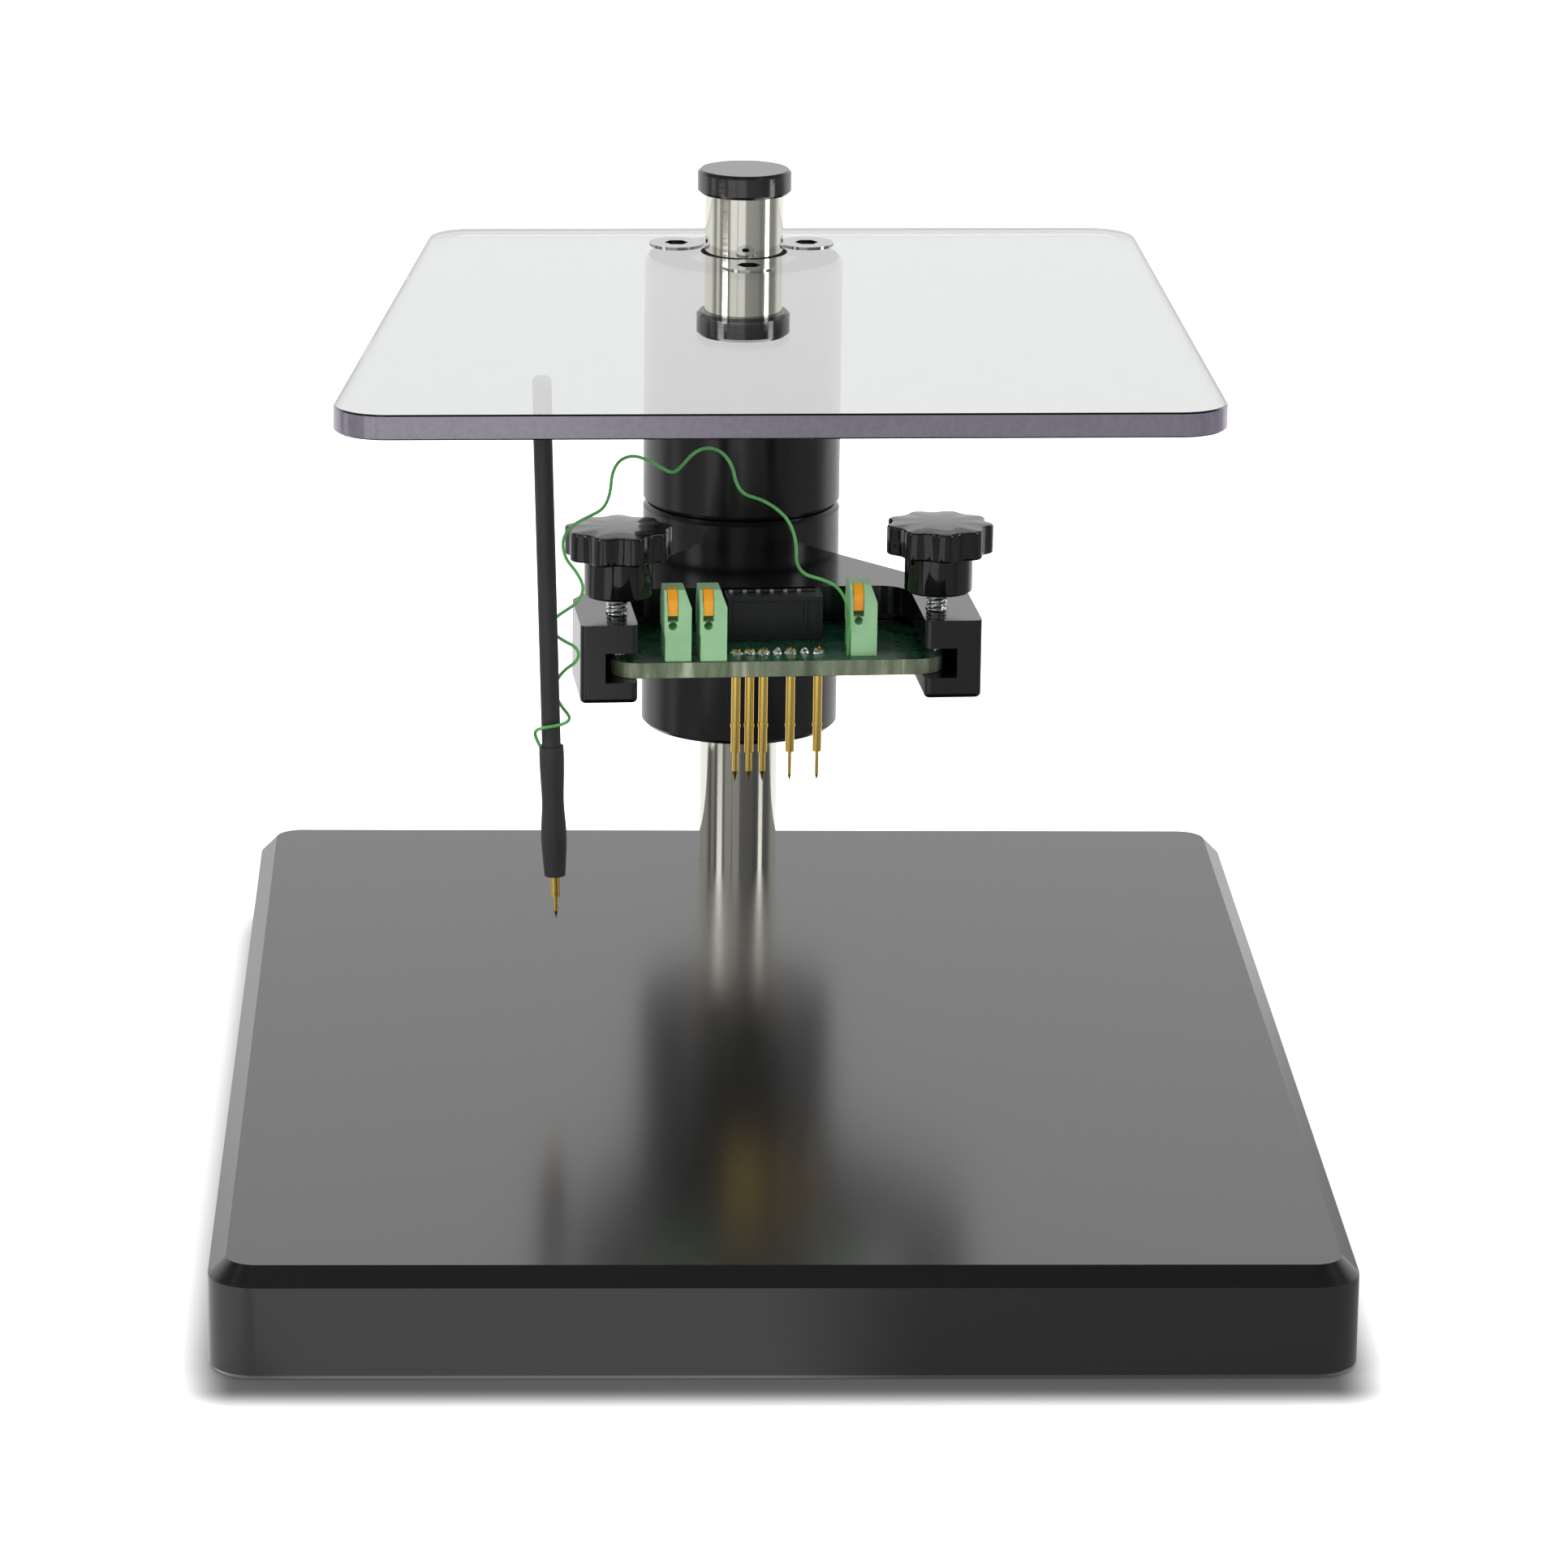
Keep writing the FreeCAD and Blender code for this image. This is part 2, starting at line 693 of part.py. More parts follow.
def lever_slot(left, front):
    x0 = left + lever_inset - lever_gap
    return block(x0, x0 + lever_width + 2 * lever_gap, -front - 1,
                 -front + terminal_front_chamfer + lever_depth + lever_gap,
                 board_top + lever_bottom_height - lever_travel - lever_gap,
                 board_top + terminal_height + 1)


def terminal_lever(left, front):
    # Side view: a bar that stands in the slot, bevelled like the lip of its terminal.
    x0 = left + lever_inset
    low, top = board_top + lever_bottom_height, board_top + terminal_height
    face, back = lever_recess - front, terminal_front_chamfer + lever_depth - front
    deep, tall = lever_bevel
    profile = [(face, low), (lever_foot_depth - front, low), (back, low + lever_foot_rise),
               (back, top), (face + deep, top), (face, top - tall)]
    corners = [Vector(x0, y, z) for y, z in profile]
    side = Part.Face(Part.makePolygon(corners + corners[:1]))
    return side.extrude(Vector(lever_width, 0, 0))


def header_box():
    low, high = board_top, board_top + header_height
    back = -header_front + header_depth
    shell = block(header_left, header_left + header_width, -header_front, back, low, high)
    slot = block(header_left + header_wall, header_left + header_width - header_wall,
                 -header_front + header_wall, back - header_wall, high - header_slot_depth, high + 1)
    shell = shell.cut(slot)
    rib = header_left + header_rib_place
    edge = header_panel_margin
    for x0, x1 in ((header_left + edge, rib - header_rib_width / 2),
                   (rib + header_rib_width / 2, header_left + header_width - edge)):
        panel = block(x0, x1, -header_front - 1, -header_front + header_panel_depth,
                      low + edge, high - edge)
        shell = shell.cut(panel)
    half = contact_size / 2 + contact_clearance
    for x in contact_places():
        shell = shell.cut(block(x - half, x + half, -contact_from_column - half,
                                -contact_from_column + half, low - 1, high + 1))
    return shell


def contact_places():
    return [contact_first + i * probe_pitch for i in range(header_contacts)]


def header_contact_pins():
    pins = []
    for x in contact_places():
        pins.append(block(x - contact_size / 2, x + contact_size / 2,
                          -contact_from_column - contact_size / 2,
                          -contact_from_column + contact_size / 2,
                          board_top, board_top + header_height + contact_proud))
    return Part.makeCompound(pins)


def probe_at(place):
    return probe_first + place * probe_pitch, -probe_from_column


def probe_socket(place):
    x, y = probe_at(place)
    length = probe_socket_below_board + board_thickness + probe_socket_top
    tube = cylinder(probe_socket_diameter, length, (x, y, probe_mouth_height))
    collar = cylinder(probe_crimp_diameter, probe_crimp_length,
                      (x, y, probe_mouth_height + probe_crimp_above_mouth))
    bore_length = probe_shank_length + probe_travel + probe_bottom_room
    bore = cylinder(probe_socket_bore, bore_length + 1, (x, y, probe_mouth_height - 1))
    return tube.fuse(collar).removeSplitter().cut(bore)


def probe_plunger(place):
    # The shank stays in the socket; the nose below it ends in a sharp cone.
    x, y = probe_at(place)
    nose = probe_plunger_heavy if place in probe_heavy else probe_plunger_light
    cone_length = nose / 2 / math.tan(math.radians(probe_tip_angle / 2))
    tip = probe_mouth_height - probe_tip_below_mouth
    profile = [(0, tip), (nose / 2, tip + cone_length),
               (nose / 2, probe_mouth_height + probe_nose_inset),
               (probe_plunger_shank / 2, probe_mouth_height + probe_shank_inset),
               (probe_plunger_shank / 2, probe_shank_top), (0, probe_shank_top)]
    plunger = revolve(profile)
    plunger.translate(Vector(x, y, 0))
    return plunger


def plate_outline():
    return [(-plate_front_left, -plate_front), (plate_front_right, -plate_front),
            (plate_back_right, plate_back), (-plate_back_left, plate_back)]


def plate_screw_angles():
    step = 360.0 / plate_screw_count
    return [plate_screw_start + i * step for i in range(plate_screw_count)]


def plate_screw_places():
    radius = plate_screw_circle / 2
    return [(radius * math.cos(math.radians(a)), radius * math.sin(math.radians(a)))
            for a in plate_screw_angles()]


def plate_screw_profile(spare):
    # A flat head whose cone narrows at 45 degrees to the shank; spare widens it into a hole.
    head = plate_screw_head_diameter / 2 + spare
    shank = plate_screw_diameter / 2 + spare
    land = plate_top - plate_screw_land
    top, end = plate_top + plate_screw_proud, plate_top - plate_screw_length - spare
    return [(0, top), (head, top), (head, land), (shank, land - (head - shank)), (shank, end),
            (0, end)]


def top_plate():
    low, high = upper_sleeve_top, plate_top
    plate = prism(plate_outline(), low, high)
    plate = plate.makeFillet(plate_corner_radius, edges_where(plate, is_upright))
    rims = edges_where(plate, lambda e: is_level_at(e, low) or is_level_at(e, high))
    plate = plate.makeChamfer(plate_edge_chamfer, rims)
    plate = plate.cut(cylinder(plate_column_hole, plate_thickness + 2, (0, 0, low - 1)))
    for x, y in plate_screw_places():
        hole = revolve(plate_screw_profile(thread_clearance))
        hole.translate(Vector(x, y, 0))
        plate = plate.cut(hole)
    return plate


def upper_sleeve():
    body = sleeve(upper_sleeve_bottom, upper_sleeve_length, upper_lock_height)
    depth = plate_screw_length - plate_thickness + 2
    for x, y in plate_screw_places():
        body = body.cut(cylinder(plate_screw_diameter + 2 * thread_clearance, depth + 1,
                                 (x, y, upper_sleeve_top - depth)))
    return body


def plate_screws():
    screws = []
    top = plate_top + plate_screw_proud
    for x, y in plate_screw_places():
        socket = hex_prism(plate_screw_hex, plate_screw_hex_depth + 1,
                           (0, 0, top - plate_screw_hex_depth))
        screw = revolve(plate_screw_profile(0)).cut(socket)
        screw.translate(Vector(x, y, 0))
        screws.append(screw)
    return Part.makeCompound(screws)


def on_pen(shape):
    # Drawn hanging down from zero, then leaned and set under the plate.
    moved = shape.copy()
    moved.rotate(Vector(0, 0, 0), BACK, -pen_lean)
    drop = pen_plate_gap + math.sin(math.radians(pen_lean)) * pen_diameter / 2
    moved.translate(Vector(pen_top[0], pen_top[1], upper_sleeve_top - drop))
    return moved


def pen_tube():
    r, hollow = pen_diameter / 2, pen_socket_diameter / 2 + seat_clearance
    low = -pen_length
    body = revolve([(0, 0), (r - pen_end_radius, 0), (r, -pen_end_radius), (r, low),
                    (hollow, low), (hollow, low + pen_socket_hidden),
                    (0, low + pen_socket_hidden)])
    return on_pen(body)


def pen_shrink():
    # The second sleeve has gathered into two soft waves over the tube's end.
    inner = pen_diameter / 2 + seat_clearance
    wide, waist = pen_shrink_diameter / 2, pen_shrink_waist / 2
    low, high = -pen_length, -pen_shrink_top
    crest, trough = wide + pen_shrink_wave, waist + pen_shrink_wave
    radii = (trough, waist, crest, wide - pen_shrink_wave)
    waves = [Vector(radius, 0, high - (high - low) * share)
             for radius, share in zip(radii, pen_shrink_rises)]
    outer = [Vector(wide, 0, high)] + waves + [Vector(waist - pen_shrink_wave, 0, low)]
    curve = Part.BSplineCurve()
    curve.interpolate(outer)
    last, first = outer[-1], outer[0]
    close = Part.makePolygon([last, Vector(inner, 0, low), Vector(inner, 0, high), first])
    face = Part.Face(Part.Wire([curve.toShape()] + close.Edges))
    return on_pen(face.revolve(Vector(0, 0, 0), Z, 360))


def pen_socket():
    r, bore = pen_socket_diameter / 2, pen_socket_bore / 2
    low = -pen_length - pen_socket_showing
    high = -pen_length + pen_socket_hidden
    floor = low + pen_shank_length + pen_travel + probe_bottom_room
    return on_pen(revolve([(bore, low), (r, low), (r, high), (0, high), (0, floor), (bore, floor)]))


def pen_plunger():
    nose, shank = pen_plunger_diameter / 2, pen_plunger_shank / 2
    mouth = -pen_length - pen_socket_showing
    tip = mouth - pen_plunger_showing
    cone = nose / math.tan(math.radians(probe_tip_angle / 2))
    return on_pen(revolve([(0, tip), (nose, tip + cone), (nose, mouth + probe_nose_inset),
                           (shank, mouth + probe_shank_inset),
                           (shank, mouth + pen_shank_length), (0, mouth + pen_shank_length)]))


def wire_path():
    # Straight runs joined by tangent arcs, each as large as its two runs allow.
    points = [Vector(*p) for p in wire_route]
    edges, radii = [], []
    start = points[0]
    for before, corner, after in zip(points, points[1:], points[2:]):
        into, out = (corner - before), (after - corner)
        shorter = min(into.Length, out.Length)
        into.normalize()
        out.normalize()
        turn = into.getAngle(out)
        setback = 0.45 * shorter
        radius = setback / math.tan(turn / 2)
        first, last = corner - into * setback, corner + out * setback
        bisector = (out - into).normalize()
        centre = corner + bisector * (radius / math.cos(turn / 2))
        middle = centre - bisector * radius
        edges.append(Part.LineSegment(start, first).toShape())
        edges.append(Part.Arc(first, middle, last).toShape())
        radii.append(radius)
        start = last
    edges.append(Part.LineSegment(start, points[-1]).toShape())
    return Part.Wire(edges), radii


def jumper_wire():
    path, radii = wire_path()
    print("wire radii", [round(r, 1) for r in radii], "length", round(path.Length, 1))
    begin, toward = Vector(*wire_route[0]), Vector(*wire_route[1])
    section = Part.Wire(Part.makeCircle(wire_diameter / 2, begin, toward - begin))
    tube = path.makePipeShell([section], True, False)
    expected = math.pi * (wire_diameter / 2) ** 2 * path.Length
    print("wire volume", round(tube.Volume, 3), "section times length", round(expected, 3))
    return tube


os.makedirs("parts", exist_ok=True)

write("base_plate", base_plate())
save("column", column())
save("column_screw", column_screw())
save("column_cap", column_cap())

# Lower sleeve with the forked holder; everything on it is turned with it about the column.
save("lower_bush", bush(lower_sleeve_bottom_height, lower_sleeve_length, lower_lock_height),
     yoke_turn)
save("lower_sleeve", lower_sleeve(), yoke_turn)
save("yoke", yoke(), yoke_turn)
save("yoke_screws", yoke_screws(), yoke_turn)
knob = star_knob()
for side, x in clamp_places().items():
    centre = Vector(x, -clamp_from_column, 0)
    stud = clamp_stud().translated(centre)
    save("clamp_stud_" + side, stud, yoke_turn)
    hub_height = yoke_top_height + clamp_stud_showing
    save("clamp_knob_" + side, knob.translated(centre + Z * hub_height), yoke_turn)
save("adapter_board", adapter_board(), yoke_turn)
save("solder_joints", solder_joints(), yoke_turn)
for number, (left, front) in enumerate(zip(terminal_lefts, terminal_fronts), 1):
    save("terminal_%d" % number, terminal(left, front), yoke_turn)
    save("terminal_lever_%d" % number, terminal_lever(left, front), yoke_turn)
save("header_box", header_box(), yoke_turn)
save("header_contacts", header_contact_pins(), yoke_turn)
for number, place in enumerate(probe_places, 1):
    save("probe_socket_%d" % number, probe_socket(place), yoke_turn)
    save("probe_plunger_%d" % number, probe_plunger(place), yoke_turn)

# Upper sleeve with the clear plate and the hand-held probe.
save("upper_bush", bush(upper_sleeve_bottom, upper_sleeve_length, upper_lock_height), plate_turn)
save("upper_sleeve", upper_sleeve(), plate_turn)
save("top_plate", top_plate(), plate_turn)
save("plate_screws", plate_screws(), plate_turn)
save("pen_tube", pen_tube())
save("pen_shrink", pen_shrink())
save("pen_socket", pen_socket())
save("pen_plunger", pen_plunger())

# Lock screws at the back of both sleeves
for level, height, turn in (("lower", lower_lock_height, yoke_turn),
                            ("upper", upper_lock_height, plate_turn)):
    save(level + "_lock_stud", lock_in_place(lock_stud(), height, lock_tip_radius), turn)
    save(level + "_lock_knob", lock_in_place(knob, height, lock_hub_radius), turn)

write("jumper_wire", jumper_wire())
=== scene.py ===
# %% [markdown]
# A positioning frame holds a circuit board under spring probes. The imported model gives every
# piece its size and place, so this script loads it first and only dresses it. Places are read
# from the frame; sizes are metres, and mm turns a size in millimetres into metres.

import math

import bpy
from mathutils import Matrix, Vector


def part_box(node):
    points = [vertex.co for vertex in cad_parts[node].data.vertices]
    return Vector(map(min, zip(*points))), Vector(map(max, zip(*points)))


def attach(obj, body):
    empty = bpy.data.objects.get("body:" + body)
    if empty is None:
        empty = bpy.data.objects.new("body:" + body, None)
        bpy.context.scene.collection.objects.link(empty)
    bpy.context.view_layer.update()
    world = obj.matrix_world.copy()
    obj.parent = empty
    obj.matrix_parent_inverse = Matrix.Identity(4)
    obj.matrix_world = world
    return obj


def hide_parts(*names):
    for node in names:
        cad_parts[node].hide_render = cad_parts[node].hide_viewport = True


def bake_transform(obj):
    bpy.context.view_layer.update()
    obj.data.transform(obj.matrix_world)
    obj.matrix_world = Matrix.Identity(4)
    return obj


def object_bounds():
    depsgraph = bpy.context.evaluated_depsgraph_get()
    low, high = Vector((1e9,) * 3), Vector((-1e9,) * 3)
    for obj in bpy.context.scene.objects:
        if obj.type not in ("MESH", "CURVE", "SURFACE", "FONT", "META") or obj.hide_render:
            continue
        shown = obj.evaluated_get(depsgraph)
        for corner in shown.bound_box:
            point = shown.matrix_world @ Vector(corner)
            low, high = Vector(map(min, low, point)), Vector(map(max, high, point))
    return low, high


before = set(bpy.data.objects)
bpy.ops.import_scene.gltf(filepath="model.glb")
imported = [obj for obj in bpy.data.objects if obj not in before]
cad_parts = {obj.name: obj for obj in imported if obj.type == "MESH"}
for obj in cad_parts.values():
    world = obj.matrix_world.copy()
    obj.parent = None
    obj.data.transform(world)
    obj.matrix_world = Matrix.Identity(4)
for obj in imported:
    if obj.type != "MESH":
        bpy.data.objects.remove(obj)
cad_low, cad_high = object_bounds()
mm = 0.001
base_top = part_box("base_plate")[1].z
column_low, column_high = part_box("column")
column_axis = (column_low + column_high) / 2
arm_turn = math.radians(4.05)
print("frame", len(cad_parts), "nodes, base top at", round(base_top / mm, 2), "mm")

# %% [markdown]
# The camera stands 1.3 m from the column and looks down 16 degrees through a long lens, which
# keeps the base's sides nearly parallel. Its turn, tilt and roll come from lines that are level
# or upright on the real object, so they are written as angles and not aimed at a point.

# %% Camera
camera_place = Vector((-43.72, -1199.46, 406.63)) * mm
camera_yaw, camera_pitch, camera_roll = 0.0394, 0.2774, -0.0129
sensor_width = 36.0
lens_length = 8550.4 / 1932 * sensor_width


def add_camera():
    data = bpy.data.cameras.new("photo_camera")
    data.sensor_width = sensor_width
    data.lens = lens_length
    data.clip_start = 0.05
    data.clip_end = 50
    forward = Vector((math.sin(camera_yaw) * math.cos(camera_pitch),
                      math.cos(camera_yaw) * math.cos(camera_pitch), -math.sin(camera_pitch)))
    level = Vector((math.cos(camera_yaw), -math.sin(camera_yaw), 0))
    down = forward.cross(level)
    right = math.cos(camera_roll) * level + math.sin(camera_roll) * down
    lower = math.cos(camera_roll) * down - math.sin(camera_roll) * level
    camera = bpy.data.objects.new("photo_camera", data)
    bpy.context.scene.collection.objects.link(camera)
    turn = Matrix((right, -lower, -forward)).transposed().to_4x4()
    camera.matrix_world = Matrix.Translation(camera_place) @ turn
    return camera


bpy.context.scene.camera = add_camera()
bpy.context.scene.view_settings.view_transform = "Standard"
print("camera lens", round(lens_length, 1), "mm")

# %% [markdown]
# Operators act on whatever is selected, and the loaded nodes start selected. These helpers pick
# one object, put a finished object's place into its mesh, and make a plain copy of a mesh.

# %% Helpers for objects


def pick(*objects):
    bpy.ops.object.select_all(action="DESELECT")
    for each in objects:
        each.select_set(True)
    bpy.context.view_layer.objects.active = objects[0]


def settle(piece):
    pick(piece)
    bpy.ops.object.transform_apply(location=True, rotation=True, scale=True)
    return piece


def apply_modifiers(piece):
    pick(piece)
    for modifier in list(piece.modifiers):
        bpy.ops.object.modifier_apply(modifier=modifier.name)
    return piece


def join(name, *pieces):
    pick(*pieces)
    bpy.ops.object.join()
    pieces[0].name = name
    return pieces[0]


def smooth(piece, degrees=35):
    pick(piece)
    bpy.ops.object.shade_smooth_by_angle(angle=math.radians(degrees))
    return piece


def copy_to(piece, name, place, turn=Matrix()):
    copied = bpy.data.objects.new(name, piece.data.copy())
    bpy.context.scene.collection.objects.link(copied)
    copied.matrix_world = Matrix.Translation(place) @ turn
    return settle(copied)


def remove(piece):
    bpy.data.objects.remove(piece)


def middle(node):
    low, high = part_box(node)
    return (low + high) / 2


print("helpers ready")

# %% [markdown]
# Every finish is a node material on Object coordinates. A colour is written as it is seen on a
# screen, from 0 to 255, and turned into the linear value that a shader takes. Noise then varies
# the roughness and lifts a fine bump, because no real surface is one even value.

# %% Helpers for materials


def linear(*levels):
    shares = [level / 255 for level in levels]
    return [s / 12.92 if s <= 0.04045 else ((s + 0.055) / 1.055) ** 2.4 for s in shares]


def new_finish(name, colour, roughness, metallic=0.0, ior=1.5):
    material = bpy.data.materials.new(name)
    material.use_nodes = True
    shader = material.node_tree.nodes["Principled BSDF"]
    shader.inputs["Base Color"].default_value = (*linear(*colour), 1)
    shader.inputs["Roughness"].default_value = roughness
    shader.inputs["Metallic"].default_value = metallic
    shader.inputs["IOR"].default_value = ior
    return material


def noise_in(material, scale, detail=4.0, stretch=(1, 1, 1)):
    tree = material.node_tree
    coordinates = tree.nodes.new("ShaderNodeTexCoord")
    mapping = tree.nodes.new("ShaderNodeMapping")
    mapping.inputs["Scale"].default_value = stretch
    noise = tree.nodes.new("ShaderNodeTexNoise")
    noise.inputs["Scale"].default_value = scale
    noise.inputs["Detail"].default_value = detail
    tree.links.new(coordinates.outputs["Object"], mapping.inputs["Vector"])
    tree.links.new(mapping.outputs["Vector"], noise.inputs["Vector"])
    return noise.outputs["Fac"]


def ramp(material, value, stops):
    tree = material.node_tree
    node = tree.nodes.new("ShaderNodeValToRGB")
    while len(node.color_ramp.elements) < len(stops):
        node.color_ramp.elements.new(0.5)
    for element, (place, colour) in zip(node.color_ramp.elements, stops):
        element.position = place
        element.color = (*colour, 1)
    tree.links.new(value, node.inputs["Fac"])
    return node.outputs["Color"]


def spread(material, value, low, high, inner=0.3):
    tree = material.node_tree
    node = tree.nodes.new("ShaderNodeMapRange")
    node.inputs["From Min"].default_value = inner
    node.inputs["From Max"].default_value = 1 - inner
    node.inputs["To Min"].default_value = low
    node.inputs["To Max"].default_value = high
    tree.links.new(value, node.inputs["Value"])
    return node.outputs["Result"]


def feed(material, socket, value):
    shader = material.node_tree.nodes["Principled BSDF"]
    material.node_tree.links.new(value, shader.inputs[socket])


def bump(material, value, height, strength=1.0):
    tree = material.node_tree
    node = tree.nodes.new("ShaderNodeBump")
    node.inputs["Distance"].default_value = height
    node.inputs["Strength"].default_value = strength
    tree.links.new(value, node.inputs["Height"])
    feed(material, "Normal", node.outputs["Normal"])


def mottled(material, colour, other, scale, stretch=(1, 1, 1)):
    value = noise_in(material, scale, 6.0, stretch)
    stops = [(0.35, linear(*colour)), (0.65, linear(*other))]
    feed(material, "Base Color", ramp(material, value, stops))


print("material helpers ready")

# %% [markdown]
# Some finishes differ from place to place on one piece: a board's face and its sawn edge, or a
# clear sheet's face and its edge. Small sums on a point's place or normal tell them apart, and a
# mix node then chooses between two colours.

# %% Helpers that tell one place from another


def maths(tree, operation, first, second=None):
    node = tree.nodes.new("ShaderNodeMath")
    node.operation = operation
    for socket, value in zip(node.inputs, (first, second)):
        if isinstance(value, (int, float)):
            socket.default_value = value
        elif value is not None:
            tree.links.new(value, socket)
    return node.outputs["Value"]


def split_axes(tree, output):
    coordinates = tree.nodes.new("ShaderNodeTexCoord")
    split = tree.nodes.new("ShaderNodeSeparateXYZ")
    tree.links.new(coordinates.outputs[output], split.inputs["Vector"])
    return [split.outputs[axis] for axis in "XYZ"]


def mix_colours(tree, share, first, second):
    node = tree.nodes.new("ShaderNodeMix")
    node.data_type = "RGBA"
    tree.links.new(share, node.inputs["Factor"])
    for socket, colour in zip((node.inputs[6], node.inputs[7]), (first, second)):
        if isinstance(colour, (list, tuple)):
            socket.default_value = (*colour, 1)
        else:
            tree.links.new(colour, socket)
    return node.outputs[2]


print("helpers for places ready")

# %% [markdown]
# The black aluminium pieces are anodised. The base is satin from bead blasting, the sleeves and
# the cap keep rings from the lathe, and the milled yoke is smoother and darker. All of them
# mirror the pale studio at a low angle, which is why a black plate looks grey near its sides.

# %% Black finishes


def blasted_black(name, colour, roughness, ior):
    material = new_finish(name, colour, roughness, ior=ior)
    grain = noise_in(material, 2600.0, 2.0)
    feed(material, "Roughness", spread(material, grain, roughness - 0.02, roughness + 0.03))
    bump(material, grain, 0.003 * mm, 0.3)
    return material


def turned_black(name, colour, roughness, ior):
    material = new_finish(name, colour, roughness, ior=ior)
    rings = noise_in(material, 1600.0, 2.0, (0.02, 0.02, 1))
    feed(material, "Roughness", spread(material, rings, roughness - 0.03, roughness + 0.04))
    bump(material, rings, 0.0008 * mm, 0.2)
    return material


base_black = blasted_black("satin_black_anodising", (13, 13, 14), 0.2, 1.62)
sleeve_black = turned_black("turned_black_anodising", (15, 15, 16), 0.2, 1.5)
yoke_black = blasted_black("milled_black_anodising", (13, 13, 15), 0.12, 1.55)
cap_black = turned_black("turned_black_cap", (18, 17, 19), 0.1, 1.8)
print("black finishes made")

# %% [markdown]
# Knobs are pressed from a hard black resin and polished, so they are the glossiest pieces. The
# probe's sleeve is a dull shrink tube, and the header is a plain moulded plastic.

# %% Plastic finishes


def moulded(name, colour, other, roughness, grain_scale, grain_height):
    material = new_finish(name, colour, roughness)
    mottled(material, colour, other, 220.0)
    bump(material, noise_in(material, grain_scale, 3.0), grain_height * mm, 0.5)
    return material


def polished_resin():
    material = new_finish("polished_black_resin", (8, 8, 9), 0.05, ior=1.55)
    cloudy = noise_in(material, 900.0, 2.0)
    feed(material, "Roughness", spread(material, cloudy, 0.035, 0.07))
    bump(material, noise_in(material, 260.0, 1.0), 0.002 * mm, 0.15)
    return material


def shrunk_tube():
    material = new_finish("dull_shrink_tube", (38, 36, 36), 0.55)
    mottled(material, (44, 42, 42), (30, 28, 28), 160.0, (1, 1, 0.3))
    bump(material, noise_in(material, 380.0, 3.0, (1, 1, 0.35)), 0.05 * mm, 0.6)
    return material


knob_black = polished_resin()
shrink_black = shrunk_tube()
header_black = moulded("black_header_plastic", (24, 26, 32), (19, 20, 26), 0.36, 1800.0, 0.004)
terminal_green = moulded("green_terminal_plastic", (158, 207, 158), (150, 198, 150), 0.42,
                         1500.0, 0.004)
lever_orange = moulded("orange_lever_plastic", (255, 176, 36), (250, 158, 20), 0.4, 1500.0, 0.004)
wire_green = moulded("green_wire_sheath", (92, 172, 92), (78, 154, 80), 0.35, 900.0, 0.004)
print("plastic finishes made")

# %% [markdown]
# The column is hardened steel ground to size. Grinding leaves fine marks round it, so its
# reflections stay crisp across and blur along, and read as upright streaks. Studs are zinc
# plated, probes gold plated, and solder is a dull bright metal with small dents.

# %% Metal finishes


def metal(name, colour, low, high, scale, stretch, height):
    material = new_finish(name, colour, low, metallic=1.0)
    marks = noise_in(material, scale, 3.0, stretch)
    feed(material, "Roughness", spread(material, marks, low, high))
    bump(material, marks, height * mm, 0.3)
    return material


along_axis = (0.02, 0.02, 1)
ground_steel = metal("ground_steel", (236, 234, 222), 0.04, 0.08, 1500.0, along_axis, 0.0006)
zinc_steel = metal("zinc_plated_steel", (214, 216, 214), 0.18, 0.32, 1200.0, (1, 1, 1), 0.003)
bright_steel = metal("bright_screw_steel", (176, 180, 180), 0.1, 0.16, 1400.0, (1, 1, 1), 0.001)
black_steel = metal("black_screw_steel", (70, 68, 70), 0.22, 0.36, 1400.0, (1, 1, 1), 0.003)
bush_bronze = metal("bush_bronze", (196, 164, 120), 0.2, 0.34, 900.0, along_axis, 0.003)
gold_probe = metal("gold_plating", (240, 206, 110), 0.14, 0.22, 2400.0, along_axis, 0.0006)
tin_contact = metal("tinned_contact", (246, 244, 236), 0.3, 0.45, 1500.0, (1, 1, 1), 0.003)
solder = metal("solder", (232, 234, 236), 0.14, 0.36, 1300.0, (1, 1, 1), 0.02)
print("metal finishes made")

# %% [markdown]
# The board is glass-fibre laminate under green lacquer. Only its flat faces are lacquered, so
# a point's distance from the board's middle layer tells face from edge, and the sawn edge keeps
# the pale grey-green of the laminate with upright saw marks.

# %% Board finish
board_low, board_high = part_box("adapter_board")
board_middle = (board_low.z + board_high.z) / 2
board_half = (board_high.z - board_low.z) / 2
lacquer_depth = 0.08 * mm


def board_finish():
    material = new_finish("lacquered_laminate", (22, 66, 48), 0.3)
    tree = material.node_tree
    x, y, z = split_axes(tree, "Object")
    from_middle = maths(tree, "ABSOLUTE", maths(tree, "SUBTRACT", z, board_middle))
    face = maths(tree, "GREATER_THAN", from_middle, board_half - lacquer_depth)
    sawn = noise_in(material, 500.0, 5.0, (1, 1, 0.12))
    edge_colour = ramp(material, sawn, [(0.3, linear(84, 94, 74)), (0.55, linear(122, 132, 108)),
                                        (0.72, linear(176, 184, 160))])
    lacquer = noise_in(material, 260.0, 4.0)
    face_colour = ramp(material, lacquer, [(0.35, linear(20, 66, 48)), (0.65, linear(32, 88, 64))])
    feed(material, "Base Color", mix_colours(tree, face, edge_colour, face_colour))
    feed(material, "Roughness", spread(material, lacquer, 0.2, 0.36))
    bump(material, sawn, 0.02 * mm, 0.3)
    return material


board_green = board_finish()
print("board finish made")

